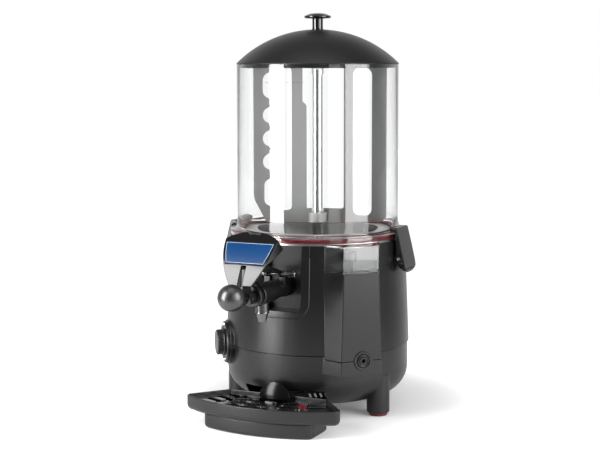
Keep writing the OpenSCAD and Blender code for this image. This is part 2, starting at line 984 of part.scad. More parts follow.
module lid_knob() {
  base = dome_flat;
  top = dome_flat + lid_knob_h;
  cap_h = 8;
  color(black)
    difference() {
      rotate_extrude()
        polygon(concat(
          [[0, base], [lid_stem_r + 0.6, base], [lid_stem_r, base + 2]],
          [[lid_stem_r, top - cap_h - 1], [lid_stem_r + 6, top - cap_h]],
          arc([lid_knob_r - 2.5, top - cap_h + 2.5], 2.5, -90, 30, 6),
          arc([0, top - 60], 60, 90 - asin((lid_knob_r - 7) / 60), 90, 8)
        ));
      translate([0, 0, base - 1])
        cylinder(r = lid_screw_r, h = 13, $fn = 96);
    }
}

module lid_screw() {
  head_r = 5;
  head_top = dome_z(head_r + 0.5, lid_t);
  color(steel) {
    translate([0, 0, head_top - 3])
      cylinder(r = head_r, h = 3, $fn = 40);
    translate([0, 0, head_top - 1])
      cylinder(r = lid_screw_r, h = dome_flat + 12 - head_top, $fn = 96);
  }
}

// Latches

latch_pin_r = 2.5;
latch_play = 0.4;
cheek = 3;

module latch_bracket() {
  half = latch_w / 2 - cheek - latch_play;
  nose_r = 4.6;
  root = 124;
  slab(2 * half) {
    translate([latch_out, latch_z])
      circle(r = nose_r, $fn = 48);
    translate([root, latch_z - nose_r])
      square([latch_out - root, 2 * nose_r]);
  }
}

// Side view of a latch, with its claw over the flange
module latch_outline() {
  top = flange_top + 5.5;
  claw = bowl_r + 4.2;
  polygon([
    [claw, flange_top + slack], [claw, top - 1], [claw + 1, top], [latch_out - 3.5, top + 0.5],
    [latch_out - 2, top - 1], [latch_out + 4, latch_z + 20], [latch_out + 9.8, latch_z - 5],
    [latch_out + 11.2, latch_z - 15], [latch_out + 10.6, latch_z - 19],
    [latch_out + 8.2, latch_z - 20.8], [latch_out + 5.5, latch_z - 19.5],
    [latch_out + 1, latch_z - 12], [latch_out - 4.4, latch_z - 3],
    [latch_out - 5, flange_top - 3], [flange_r + 1, flange_top + slack]
  ]);
}

module latch_cavity() {
  polygon([
    [latch_out - 20, flange_top - 4], [latch_out - 2.4, flange_top - 4],
    [latch_out + 0.7, latch_z + 20], [latch_out + 6.3, latch_z - 5],
    [latch_out + 7.6, latch_z - 14], [latch_out + 6.5, latch_z - 16],
    [latch_out + 5.4, latch_z - 16.6], [latch_out - 20, latch_z - 16.6]
  ]);
}

module latch() {
  boss_r = 6.2;
  tongue_r = 36;
  color(black)
    difference() {
      intersection() {
        union() {
          slab(latch_w)
            latch_outline();
          translate([-latch_w / 2, -latch_out, latch_z])
            rotate([0, 90, 0])
              cylinder(r = boss_r, h = latch_w);
        }
        // Rounds the tongue's lower end, seen from outside
        union() {
          translate([-latch_w, -latch_out - 20, latch_z - 10])
            cube([2 * latch_w, 60, 80]);
          rod(tongue_r, latch_out - 30, latch_out + 20, latch_z - 20.8 + tongue_r);
        }
      }
      slab(latch_w - 2 * cheek)
        latch_cavity();
      translate([-latch_w, -latch_out, latch_z])
        rotate([0, 90, 0])
          cylinder(r = latch_pin_r + running, h = 2 * latch_w, $fn = 48);
    }
}

module latch_left() {
  rotate([0, 0, -90])
    latch();
}

module latch_right() {
  rotate([0, 0, 90])
    latch();
}

module latch_pins() {
  color(steel)
    for (a = [-90, 90])
      rotate([0, 0, a])
        translate([-latch_w / 2, -latch_out, latch_z])
          rotate([0, 90, 0])
            cylinder(r = latch_pin_r, h = latch_w, $fn = 48);
}

// Water box

well_out = box_out - 15;
well_r = 12;
well_z = 160;
well_pipe_r = 5;
well_pipe_z = well_z + 8;

module filler_cover() {
  back_r = casing_r(ledge_z) + 0.8;
  color("#dfe8ec", 0.35)
    difference() {
      box_prism(0, ledge_z, cover_top);
      box_prism(cover_wall, ledge_z - 1, cover_top - cover_wall);
      translate([0, 0, ledge_z - 1])
        cylinder(r = back_r, h = cover_h + 2);
    }
}

// Sump under the ledge, joined to the water jacket
module filler_well() {
  color("#3a3c3e")
    rotate([0, 0, box_angle])
      difference() {
        union() {
          translate([0, -well_out, well_z])
            linear_extrude(ledge_z - casing_wall - well_z)
              slot2d(2 * filler_shift, well_r);
          rod(well_pipe_r, jacket_r - sheet / 2, well_out - well_r + 2, well_pipe_z);
        }
        translate([0, -well_out, well_z + 2])
          linear_extrude(ledge_z)
            slot2d(2 * filler_shift, well_r - 2);
        rod(well_pipe_r - 1.5, jacket_r - 5, well_out - 5, well_pipe_z);
        translate([0, 0, well_z])
          cylinder(r = jacket_r + running, h = 100);
      }
}

// Float whose stem rises in the clear cover with the water
module level_float() {
  stem_r = 3;
  stem_z = ledge_z - casing_wall - 7;
  flag_z = ledge_z + cover_h - 22;
  color(black)
    rotate([0, 0, box_angle])
      translate([-filler_shift, -well_out, 0]) {
        translate([0, 0, stem_z - 15])
          cylinder(r = well_r - 3, h = 16);
        translate([0, 0, stem_z])
          cylinder(r = stem_r, h = flag_z - stem_z + 1, $fn = 40);
        translate([0, 0, flag_z])
          cylinder(r = float_r, h = 13);
      }
}

module on_drain() {
  rotate([0, 0, box_angle])
    translate([drain_side, 0, 0])
      children();
}

module drain_ring() {
  color(black)
    on_drain()
      spool(drain_z)
        polygon([
          [drain_r + slack, box_out], [drain_ring_r, box_out], [drain_ring_r, box_out + 1.4],
          [drain_ring_r - 0.8, box_out + 2.2], [drain_r + 1.6, box_out + 2.2],
          [drain_r + slack, box_out + 1.2]
        ]);
}

module drain_plug() {
  hole = 2.6;
  color(black)
    on_drain()
      spool(drain_z)
        polygon([
          [0, box_out - 13], [spigot_r, box_out - 13], [spigot_r, box_out - 8],
          [drain_r, box_out - 8], [drain_r, box_out + 2],
          [drain_r - 1.5, box_out + 3], [drain_r - 3, box_out + 2.2],
          [drain_r - 4.2, box_out + 3.4], [hole + 0.8, box_out + 3.4],
          [hole, box_out + 2.6], [hole, box_out - 3], [0, box_out - 3]
        ]);
}

drain_pipe_r = 6;
drain_pipe_bore = drain_pipe_r - 1.5;
spigot_r = drain_pipe_bore - running;
drain_elbow = 74;

module drain_pipe() {
  color("#8c8f93")
    on_drain()
      difference() {
        union() {
          rod(drain_pipe_r, drain_elbow, box_out - 9, drain_z);
          translate([0, -drain_elbow, drain_z])
            sphere(r = drain_pipe_r, $fn = 48);
          translate([0, -drain_elbow, drain_z])
            cylinder(r = drain_pipe_r, h = jacket_z - drain_z, $fn = 48);
        }
        rod(drain_pipe_bore, drain_elbow, box_out, drain_z);
        translate([0, -drain_elbow, drain_z])
          cylinder(r = drain_pipe_bore, h = jacket_z - drain_z + 1, $fn = 48);
      }
}

// Thermostat

module thermostat() {
  body = 34;
  body_out = bezel_out - 15;
  color("#8c8f93")
    rotate([0, 0, knob_angle]) {
      translate([-body / 2, -body_out, seam_z - body / 2])
        cube([body, 22, body]);
      rod(12, body_out, bezel_out - 6, seam_z);
      rod(3, bezel_out - 6, bezel_out + knob_h - 4, seam_z);
    }
}

module knob_plate() {
  boss_face = bezel_out - 5;
  color(black)
    rotate([0, 0, knob_angle])
      difference() {
        spool(seam_z)
          polygon([
            [0, boss_face], [bezel_r, boss_face], [bezel_r, bezel_out - 1.5],
            [bezel_r - 1.5, bezel_out], [knob_r + 3, bezel_out],
            [knob_r + 2, bezel_out - 1], [0, bezel_out - 1]
          ]);
        rod(13, boss_face - 1, bezel_out + 1, seam_z);
        for (s = [-1, 1])
          rod(screw_r, boss_face - 1, bezel_out + 1, seam_z + s * (bezel_r - 5));
      }
}

module knob_plate_screws() {
  color(steel)
    rotate([0, 0, knob_angle])
      for (s = [-1, 1]) {
        rod(screw_r, bezel_out - 5, bezel_out, seam_z + s * (bezel_r - 5));
        spool(seam_z + s * (bezel_r - 5))
          polygon([
            [0, bezel_out], [3.6, bezel_out], [3.4, bezel_out + 1],
            [2.4, bezel_out + 1.9], [0, bezel_out + 2.2]
          ]);
      }
}

module thermostat_knob() {
  start = bezel_out - 0.7;
  end = bezel_out + knob_h;
  color(black)
    rotate([0, 0, knob_angle])
      difference() {
        spool(seam_z)
          polygon([
            [0, start], [knob_r, start], [knob_r, start + 2.5], [knob_r - 1, start + 3.5],
            [knob_r - 1, end - 1.5], [knob_r - 2.2, end - 0.3], [knob_r - 4, end],
            [0, end]
          ]);
        rod(3 + running, start - 1, end - 3.5, seam_z);
        // Finger ribs around the rim
        for (a = [0:15:345])
          translate([0, -end - 1, seam_z])
            rotate([0, a, 0])
              translate([knob_r + 0.6, 0, 0])
                rotate([-90, 0, 0])
                  cylinder(r = 2, h = knob_h - 2.5, $fn = 24);
      }
}

// Tap

gland_back = tap_front - 13;
spring_seat = tap_front - 4;
head_front = nozzle_out + 5;
head_back = nozzle_out - 5;
port_r = 3.5;
piston_rod_r = 3.5;
ear_gap = lever_t / 2 + 0.45;
ear_t = 3.6;
bolt_r = 2.5;
bolt_out = niche_back + 35;
bolt_z = tap_z + 22;
lug_x = 11;
lug_t = 5;
lug_r = 5;
lever_pin_r = 2.5;
clip_t = 2.4;
clip_x = ear_gap + ear_t + 0.2;
step_out = niche_back + 43;

// Radius of the tapered barrel
function barrel_r(out) = 14.2 + (tap_r - 14.2) * (out - step_out) / (gland_back - step_out);

// Distance of the hood's front from the axis at height z, less a depth below its surface
function hood_out(z, drop = 0) = hood_axis_out + sqrt(pow(hood_r - drop, 2) - pow(z - hood_axis_z, 2));

// A cylinder across the tap, between x = a and x = b
module cross_rod(r, a, b, out, height) {
  translate([a, -out, height])
    rotate([0, 90, 0])
      cylinder(r = r, h = b - a, $fn = 48);
}

module tap_body() {
  color(black)
    difference() {
      union() {
        spool(tap_z)
          polygon([
            [0, niche_back], [tap_root_r + 1.6, niche_back],
            [tap_root_r + 1.6, niche_back + 10], [tap_root_r + 0.6, niche_back + 12],
            [tap_root_r + 0.4, step_out], [barrel_r(step_out), step_out + 1],
            [tap_r, gland_back - 2], [tap_r - 1, gland_back], [0, gland_back]
          ]);
        tap_ears();
        tap_lugs();
      }
      rod(outlet_tube_r + running, niche_back - 1, outlet_end + slack, tap_z);
      rod(piston_r, outlet_end - 1, gland_back + 1, tap_z);
      translate([0, -nozzle_out, tap_z - tap_r - 3])
        cylinder(r = port_r, h = tap_r, $fn = 40);
      cross_rod(bolt_r, -30, 30, bolt_out, bolt_z);
      cross_rod(lever_pin_r, -20, 20, pivot_out, pivot_z);
    }
}

// Two ears on the barrel hold the lever's pin inside the hood
module tap_ears() {
  for (s = [-1, 1])
    translate([s * (ear_gap + ear_t / 2), 0, 0])
      slab(ear_t) {
        polygon([
          [gland_back - 16, tap_z + tap_r - 3], [gland_back - 1, tap_z + tap_r - 3],
          [pivot_out + 3.5, pivot_z - 4], [pivot_out, pivot_z + 5],
          [gland_back - 6, tap_z + 28]
        ]);
        translate([pivot_out, pivot_z])
          circle(r = 5.2, $fn = 48);
      }
}

// Two lugs hold the cross bolt that keeps the hood down
module tap_lugs() {
  for (s = [-1, 1]) {
    a = s > 0 ? lug_x : -lug_x - lug_t;
    cross_rod(lug_r, a, a + lug_t, bolt_out, bolt_z);
    translate([s > 0 ? lug_x - 4 : -lug_x - lug_t, -bolt_out - lug_r + 1, tap_z + 4])
      cube([lug_t + 4, 2 * lug_r - 2, bolt_z - tap_z - 8]);
  }
}

module tap_gland() {
  groove_r = tap_r - 3;
  color(black)
    difference() {
      spool(tap_z)
        polygon([
          [0, gland_back], [groove_r, gland_back], [groove_r, gland_back + 5.5],
          [tap_r - 1, gland_back + 5.5], [tap_r - 0.5, gland_back + 6.5],
          [tap_r - 0.5, tap_front - 1.5], [tap_r - 2, tap_front],
          [0, tap_front]
        ]);
      rod(piston_r, gland_back - 1, spring_seat, tap_z);
      rod(piston_rod_r + running, gland_back, tap_front + 1, tap_z);
    }
}

fork_back = tap_front + 3;
fork_front = pivot_out + 7.5;
fork_half = 9;
fork_w = 16;
fork_pin_r = 2;

module tap_piston() {
  groove = 2 * seal_wire_r - slack + 0.1;
  color("#2a2b2d")
    difference() {
      union() {
        spool(tap_z)
          polygon([
            [0, head_back], [piston_r - 0.3, head_back],
            [piston_r - 0.3, head_back + 1.6], [piston_r - 0.3 - groove, head_back + 1.6],
            [piston_r - 0.3 - groove, head_back + 3.6], [piston_r - 0.3, head_back + 3.6],
            [piston_r - 0.3, head_front - 3.6], [piston_r - 0.3 - groove, head_front - 3.6],
            [piston_r - 0.3 - groove, head_front - 1.6], [piston_r - 0.3, head_front - 1.6],
            [piston_r - 0.3, head_front], [piston_rod_r, head_front],
            [piston_rod_r, fork_back], [0, fork_back]
          ]);
        intersection() {
          rod(fork_half, fork_back, fork_front, tap_z);
          translate([-fork_w / 2, -fork_front, tap_z - fork_half])
            cube([fork_w, fork_front - fork_back, 2 * fork_half]);
        }
      }
      translate([-ear_gap, -fork_front - 1, tap_z - fork_half - 1])
        cube([2 * ear_gap, fork_front - fork_back, 2 * fork_half + 2]);
      translate([0, -pivot_out, tap_z])
        rotate([0, 90, 0])
          cylinder(r = fork_pin_r, h = 30, center = true, $fn = 40);
    }
}

module piston_seals() {
  mid = piston_r - running - seal_wire_r;
  color("#202020")
    for (out = [head_back + 2.6, head_front - 2.6])
      spool(tap_z)
        translate([mid, out])
          circle(r = seal_wire_r, $fn = 24);
}

module fork_pin() {
  color(steel)
    translate([0, -pivot_out, tap_z])
      rotate([0, 90, 0])
        cylinder(r = fork_pin_r, h = fork_w, center = true, $fn = 40);
}

spring_turns = 5;
spring_wire_r = 0.7;
spring_coil_r = 6.2;

// Point on the middle of the spring's wire, at turn t
function spring_point(t) =
  let (lead = (spring_seat - head_front - 2 * spring_wire_r - 0.4) / spring_turns)
  [
    spring_coil_r * cos(360 * t), -head_front - spring_wire_r - 0.2 - lead * t,
    tap_z + spring_coil_r * sin(360 * t)
  ];

function unit(v) = v / norm(v);

module tap_spring() {
  per_turn = 12;
  sides = 6;
  last = spring_turns * per_turn;
  points = [
    for (i = [0:last])
      let (
        p = spring_point(i / per_turn),
        along = unit(spring_point(i / per_turn + 0.01) - spring_point(i / per_turn - 0.01)),
        away = unit([p[0], 0, p[2] - tap_z]),
        across = cross(along, away)
      )
      for (k = [0:sides - 1])
        p + spring_wire_r * (cos(360 * k / sides) * away + sin(360 * k / sides) * across)
  ];
  walls = [
    for (i = [0:last - 1], k = [0:sides - 1])
      let (a = i * sides + k, b = i * sides + (k + 1) % sides)
      each [[a, b, b + sides], [a, b + sides, a + sides]]
  ];
  start_cap = [[for (k = [sides - 1:-1:0]) k]];
  end_cap = [[for (k = [0:sides - 1]) last * sides + k]];
  color(steel)
    polyhedron(points, concat(walls, start_cap, end_cap));
}

module tap_nozzle() {
  tip_r = 5.4;
  ring_z = nozzle_z + 12.5;
  saddle = tap_z - tap_r + 3;
  color(steel)
    difference() {
      translate([0, -nozzle_out, 0])
        rotate_extrude()
          polygon([
            [port_r, nozzle_z], [tip_r, nozzle_z], [nozzle_r - 1.2, ring_z - 1.4],
            [nozzle_r - 0.9, ring_z - 0.6], [nozzle_r + 0.2, ring_z],
            [nozzle_r, ring_z + 1.2], [nozzle_r, saddle], [port_r, saddle]
          ]);
      spool(tap_z)
        polygon([
          [0, nozzle_out - 20], [barrel_r(nozzle_out - 20) + 0.05, nozzle_out - 20],
          [barrel_r(nozzle_out + 20) + 0.05, nozzle_out + 20], [0, nozzle_out + 20]
        ]);
    }
}

module lever_outline() {
  foot_z = tap_z - 7;
  stub_z = tap_z + ball_rise;
  difference() {
    union() {
      translate([pivot_out, pivot_z])
        circle(r = 5, $fn = 48);
      polygon([
        [pivot_out - 4.6, pivot_z], [pivot_out - 4.6, foot_z], [pivot_out + 6, foot_z],
        [pivot_out + 18, stub_z - 5], [pivot_out + 20, stub_z - 4],
        [pivot_out + 20, stub_z + 5], [pivot_out + 17.5, pivot_z - 26],
        [pivot_out + 11.5, pivot_z - 4.5], [pivot_out + 9, pivot_z - 2], [pivot_out, pivot_z]
      ]);
    }
    translate([pivot_out, tap_z - 0.5])
      rotate(90)
        slot2d(1.2, fork_pin_r + 0.2);
    translate([pivot_out, pivot_z])
      circle(r = lever_pin_r + running, $fn = 40);
  }
}

stub_r = 4;

module tap_lever() {
  color(black) {
    slab(lever_t)
      lever_outline();
    rod(stub_r, pivot_out + 17, ball_out - ball_r / 3, tap_z + ball_rise);
  }
}

module tap_ball() {
  color(black)
    spool(tap_z + ball_rise)
      polygon(concat(
        arc([0, ball_out], ball_r, -78, 90, 40),
        [[0, ball_out - ball_r / 3], [stub_r, ball_out - ball_r / 3]],
        [[stub_r, ball_out - ball_r * sin(78)]]
      ));
}

module lever_pin() {
  reach = clip_x + clip_t;
  color(steel)
    cross_rod(lever_pin_r, -reach, reach, pivot_out, pivot_z);
}

// Outline of the hood's front: x across, y up the slope from the label's foot
module hood_outline(inset) {
  low = [hood_low_w / 2 - inset, -hood_chin + inset];
  shoulder = [hood_w / 2 - inset, hood_l];
  chord = shoulder - low;
  bow = hood_bow_r - inset;
  along = unit(chord);
  mid = (low + shoulder) / 2;
  centre = mid + sqrt(pow(bow, 2) - pow(norm(chord) / 2, 2)) * [-along[1], along[0]];
  a = atan2(low[1] - centre[1], low[0] - centre[0]);
  b = atan2(shoulder[1] - centre[1], shoulder[0] - centre[0]);
  crown_r = (pow(shoulder[0], 2) + pow(hood_arch, 2)) / (2 * hood_arch);
  crown_c = [0, hood_l + hood_arch - inset - crown_r];
  reach = asin(shoulder[0] / crown_r);
  side = arc(centre, bow, a, b, 14);
  polygon(concat(
    side,
    arc(crown_c, crown_r, 90 - reach + 4, 90 + reach - 4, 24),
    [for (i = [len(side) - 1:-1:0]) [-side[i][0], side[i][1]]]
  ));
}

hood_tilt = nose_tilt + 7;

module on_hood_face() {
  translate([0, -nose_out, nose_z])
    rotate([90 - hood_tilt, 0, 0])
      children();
}

// A round bar as wide as the hood, whose skin is the hood's curved front
module hood_bar(drop) {
  half = hood_w / 2 + 5;
  translate([-half, -hood_axis_out, hood_axis_z])
    rotate([0, 90, 0])
      cylinder(r = hood_r - drop, h = 2 * half, $fn = 360);
}

module tap_hood() {
  color(black)
    difference() {
      union() {
        intersection() {
          difference() {
            hood_bar(0);
            hood_bar(hood_t);
          }
          on_hood_face()
            translate([0, 0, -20])
              linear_extrude(40)
                hood_outline(0);
        }
        hood_skirt();
        hood_arms();
      }
      // Slot for the lever
      translate([-ear_gap - 0.4, -nose_out - 30, tap_z])
        cube([2 * ear_gap + 0.8, 45, lever_l + 1]);
      // Finger slit under the crown
      on_hood_face()
        translate([0, hood_l + hood_arch - 4, -20])
          linear_extrude(40)
            slot2d(18, 1.3);
      cross_rod(bolt_r, -20, 20, bolt_out, bolt_z);
      cross_rod(lever_pin_r, -20, 20, pivot_out, pivot_z);
      label_form(0, 0, 6);
    }
}

// Sides of the hood, which run out to nothing at the label's foot
module hood_skirt() {
  intersection() {
    on_hood_face()
      difference() {
        translate([0, 0, -hood_side])
          linear_extrude(hood_side + 10)
            difference() {
              hood_outline(0);
              hood_outline(hood_t);
            }
        rotate([-atan(hood_side / hood_l), 0, 0])
          translate([-100, -200, -101])
            cube([200, 400, 100]);
      }
    hood_bar(hood_t / 2);
  }
}

// Arms from the hood's inside back to the cross bolt
module hood_arms() {
  for (s = [-1, 1])
    translate([s * (clip_x + clip_t / 2), 0, 0])
      slab(clip_t) {
        polygon([
          [bolt_out, bolt_z + 4.5], [bolt_out, bolt_z - 1], [pivot_out, pivot_z - 5.5],
          [hood_out(pivot_z - 5, hood_t / 2), pivot_z - 5],
          [hood_out(pivot_z + 4, hood_t / 2), pivot_z + 4],
          [hood_out(pivot_z + 12, hood_t / 2), pivot_z + 12],
          [pivot_out - 12, pivot_z + 5]
        ]);
        translate([bolt_out, bolt_z])
          circle(r = 4.5, $fn = 40);
      }
}

label_low = 1.5;
label_high = hood_l - 6;

// The label's plate, sunk into the front by its thickness and proud by rise
module label_form(play, rise, over) {
  margin = 3 + play;
  intersection() {
    difference() {
      hood_bar(-rise - over);
      hood_bar(label_t);
    }
    on_hood_face()
      translate([0, 0, -20])
        linear_extrude(50)
          intersection() {
            hood_outline(margin);
            translate([-hood_w, label_low + play])
              square([2 * hood_w, label_high - label_low - 2 * play]);
          }
  }
}

module hood_label() {
  color("#1f6fb5")
    label_form(0.2, 0.3, 0);
}

// Cross bolt under the hood's arms
module tie_rod() {
  color(steel) {
    cross_rod(bolt_r, -lug_x - lug_t - 2, nut_end - 2, bolt_out, bolt_z);
    cross_rod(bolt_r + 1.8, -lug_x - lug_t - 4, -lug_x - lug_t, bolt_out, bolt_z);
  }
}

nut_start = lug_x + lug_t;
nut_end = nut_start + 15.5;

// Knurled nut on the cross bolt
module tie_nut() {
  outer = 4.6;
  color(steel)
    translate([nut_start, -bolt_out, bolt_z])
      rotate([0, 90, 0])
        rotate_extrude()
          polygon([
            [bolt_r, 0], [outer + 0.9, 0], [outer + 0.9, 1.6], [outer - 0.5, 2.2],
            [outer - 0.5, 4], [outer, 4.6], [outer, nut_end - nut_start - 0.8],
            [outer - 0.8, nut_end - nut_start], [bolt_r, nut_end - nut_start]
          ]);
}

// Panel that closes the back of the niche
module front_panel() {
  half = niche_w / 2 + casing_wall - 0.8;
  color(black)
    difference() {
      translate([-half, -niche_back, niche_z - casing_wall + slack])
        cube([2 * half, casing_wall, deck_z - niche_z + casing_wall - slack]);
      rod(outlet_tube_r + running, niche_back - 10, niche_back + 10, tap_z);
    }
}

// Drip tray

tip_round = 9;

// Plan of the tray, drawn in by inset: an arc, two slanted ends and a straight back
function tray_plan(inset) =
  let (
    r = tray_r - inset,
    f = max(tip_round - inset, 1),
    corner = [tray_back_half, -tray_back],
    slant = unit(polar(tray_r, tip_angle) - corner),
    inward = [slant[1], -slant[0]],
    gap = corner * inward + inset,
    centre = inward * (gap + f) + slant * sqrt(pow(r - f, 2) - pow(gap + f, 2)),
    arc_end = atan2(centre[1], centre[0]),
    slant_end = atan2(-inward[1], -inward[0]),
    back_end = inward * gap + slant * ((-tray_back - inset - inward[1] * gap) / slant[1]),
    tip = arc(centre, f, arc_end, slant_end, 8)
  )
  concat(
    arc([0, 0], r, -180 - arc_end, arc_end, 32),
    tip,
    [back_end, [-back_end[0], back_end[1]]],
    [for (i = [len(tip) - 1:-1:0]) [-tip[i][0], tip[i][1]]]
  );

module tray_slice(inset, from, to) {
  translate([0, 0, from])
    linear_extrude(to - from)
      polygon(tray_plan(inset));
}

// The deeper part that stands on the floor
module tray_foot(inset, from, to) {
  front = tray_r - 4 - inset;
  half = tray_foot_half - inset;
  corner = 12 - min(inset, 10);
  side = sqrt(pow(front - corner, 2) - pow(half - corner, 2));
  turn = atan2(-side, half - corner);
  tip = arc([half - corner, -side], corner, turn, 0, 6);
  back = tray_back + 21 + inset;
  translate([0, 0, from])
    linear_extrude(to - from)
      polygon(concat(
        arc([0, 0], front, -180 - turn, turn, 24),
        tip,
        [[half, -back], [-half, -back]],
        [for (i = [len(tip) - 1:-1:0]) [-tip[i][0], tip[i][1]]]
      ));
}

// The upper part from one height to another, with its lower edge rounded
module tray_form(from, to) {
  hull() {
    for (a = [0:22.5:67.5])
      tray_slice(tray_round * (1 - sin(a)), from + tray_round * (1 - cos(a)), to - 5);
    tray_slice(0, from + tray_round, to);
  }
}

// The lower part down to the floor, with its lower edge rounded
module foot_form(to) {
  hull() {
    for (a = [0:30:60])
      tray_foot(foot_round * (1 - sin(a)), foot_round * (1 - cos(a)), to - 5);
    tray_foot(0, foot_round, to);
  }
}

foot_round = 6;
catch_r = 24.5;
catch_out = tray_back + 12;
catch_z = tray_h - 4;
float_spot = polar(tray_back + 49, 17.5);
float_floor = tray_step - 6;

module drip_tray() {
  dome = 7;
  dome_ball = (pow(catch_r, 2) + pow(dome, 2)) / (2 * dome);
  ledge = 4;
  tongue_w = mouth_w - 14;
  color(black) {
    difference() {
      union() {
        tray_form(tray_step, tray_h);
        foot_form(tray_step + 1);
      }
      tray_slice(tray_wall + ledge, tray_step + tray_wall, tray_h + 1);
      tray_slice(tray_wall, grille_seat, tray_h + 1);
      tray_foot(tray_wall + 1.2, tray_wall, tray_step);
      tray_foot(tray_wall, foot_round, tray_step + 5);
    }
    // Round catch at the middle of the back edge
    intersection() {
      translate([0, -catch_out + dome_ball - dome, catch_z])
        sphere(r = dome_ball, $fn = 128);
      translate([-catch_r, -catch_out - dome - 1, catch_z])
        cube([2 * catch_r, dome + 1, catch_r]);
    }
    translate([-catch_r + 2, -catch_out, catch_z - 12])
      cube([2 * catch_r - 4, catch_out - tray_back - 1, 16.5]);
    // Stand for the float
    translate(concat(float_spot, [tray_wall / 2]))
      cylinder(r = tray_float_r / 2, h = float_floor - tray_wall / 2);
    // Tongue that slides into the casing's mouth
    translate([-tongue_w / 2, -tray_back - tray_wall, belly_z + casing_wall + 1])
      cube([tongue_w, tray_back + tray_wall - base_r + 0.75 * belly_round, 4]);
  }
}

grille_top = tray_h - grille_sunk;
grille_seat = grille_top - grille_t;
rib_h = 1.5;
first_row = tray_back + 17.5;
star_out = first_row + 2 * grille_pitch - 2.5;

// A slot bent around the axis of the bowl, over the angles a - reach to a + reach
module arc_slot(r, a, reach, half_w) {
  turn = reach - asin(half_w / r);
  polygon(concat(
    arc([0, 0], r + half_w, a - turn - 90, a + turn - 90, 4),
    arc(polar(r, a + turn), half_w, a + turn - 60, a + turn + 60, 4),
    arc([0, 0], r - half_w, a + turn - 90, a - turn - 90, 4),
    arc(polar(r, a - turn), half_w, a - turn + 120, a - turn + 240, 4)
  ));
}

// Rows of bent slots or ribs in four sectors, kept off the tray's wall
module grille_rows(start, rows, half_w, from, to) {
  intersection() {
    tray_slice(tray_wall + 3.5, from, to);
    translate([0, 0, from - 1])
      for (i = [0:rows - 1], side = [-1, 1], a = [11.2, 23.4])
        linear_extrude(to - from + 2)
          arc_slot(start + i * grille_pitch, side * a, 4.4, half_w);
  }
}

// Ribs stand on curved rows; the slots lie between them
module drip_grille() {
  color(black)
    difference() {
      union() {
        difference() {
          tray_slice(tray_wall + slack, grille_seat, grille_top);
          grille_rows(first_row + grille_pitch / 2, 3, 3.7, grille_seat - 1, grille_top + 1);
        }
        grille_rows(first_row, 4, 4.2, grille_top - 1, grille_top + rib_h);
        translate([0, 0, grille_top - 1])
          linear_extrude(rib_h + 1)
            arc_slot(first_row + 8, 0, 3.4, 3);
        translate(concat(float_spot, [grille_seat]))
          cylinder(r = tray_float_r + 2.6, h = grille_t + rib_h, $fn = 64);
        translate([0, -star_out, grille_top - 1])
          cylinder(r1 = 6, r2 = 4.5, h = rib_h + 1, $fn = 48);
      }
      for (a = [45:90:315])
        translate([0, -star_out, grille_seat - 1])
          rotate([0, 0, a])
            linear_extrude(grille_t + 2)
              translate([13, 0])
                slot2d(8, 2.6);
      translate(concat(float_spot, [grille_seat - 1]))
        cylinder(r = tray_float_r + slack, h = 10, $fn = 48);
      translate([-catch_r - 1, -catch_out - 8, grille_seat - 1])
        cube([2 * catch_r + 2, 30, 10]);
    }
}

// Float that shows when the tray is full
module tray_float() {
  collar_h = 9;
  color(red)
    translate(concat(float_spot, [float_floor])) {
      cylinder(r = tray_float_r + 3, h = collar_h);
      translate([0, 0, collar_h])
        cylinder(r = tray_float_r, h = grille_top + rib_h + 2.5 - float_floor - collar_h, $fn = 48);
    }
}

lower_casing();
upper_casing();
bottom_cover();
rubber_feet();
front_panel();
jacket_tank();
product_tank();
heater_ring();
column_tube();
gear_motor();
motor_bracket();
drive_shaft();
drive_cap();
agitator();
agitator_nut();
column_bush();
bowl();
bowl_seal();
lid();
lid_knob();
lid_screw();
latch_left();
latch_right();
latch_pins();
filler_cover();
filler_well();
level_float();
drain_ring();
drain_plug();
drain_pipe();
thermostat();
thermostat_knob();
knob_plate();
knob_plate_screws();
tap_body();
tap_gland();
tap_piston();
piston_seals();
tap_spring();
fork_pin();
tap_nozzle();
tap_lever();
tap_ball();
lever_pin();
tap_hood();
hood_label();
tie_rod();
tie_nut();
drip_tray();
drip_grille();
tray_float();
cable_gland();
casing_screws();
cover_screws();
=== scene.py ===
import math

import bmesh
import bpy
from mathutils import Matrix, Vector


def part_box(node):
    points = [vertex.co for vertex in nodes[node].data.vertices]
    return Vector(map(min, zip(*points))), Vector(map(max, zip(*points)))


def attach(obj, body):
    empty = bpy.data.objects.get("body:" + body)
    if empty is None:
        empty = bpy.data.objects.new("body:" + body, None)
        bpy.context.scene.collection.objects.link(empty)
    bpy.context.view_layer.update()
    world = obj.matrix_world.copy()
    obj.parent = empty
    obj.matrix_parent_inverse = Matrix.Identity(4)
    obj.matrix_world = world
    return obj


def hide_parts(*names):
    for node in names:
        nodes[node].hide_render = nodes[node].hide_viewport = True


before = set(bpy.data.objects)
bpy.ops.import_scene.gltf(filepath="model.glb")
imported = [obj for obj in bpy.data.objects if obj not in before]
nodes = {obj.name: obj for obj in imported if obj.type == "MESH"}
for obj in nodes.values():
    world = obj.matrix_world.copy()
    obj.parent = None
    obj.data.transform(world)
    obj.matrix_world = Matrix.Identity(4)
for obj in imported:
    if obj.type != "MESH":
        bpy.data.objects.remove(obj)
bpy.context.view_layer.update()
mm = 0.001
turn = 2 * math.pi
print("frame loaded:", len(nodes), "nodes")

# Node trees


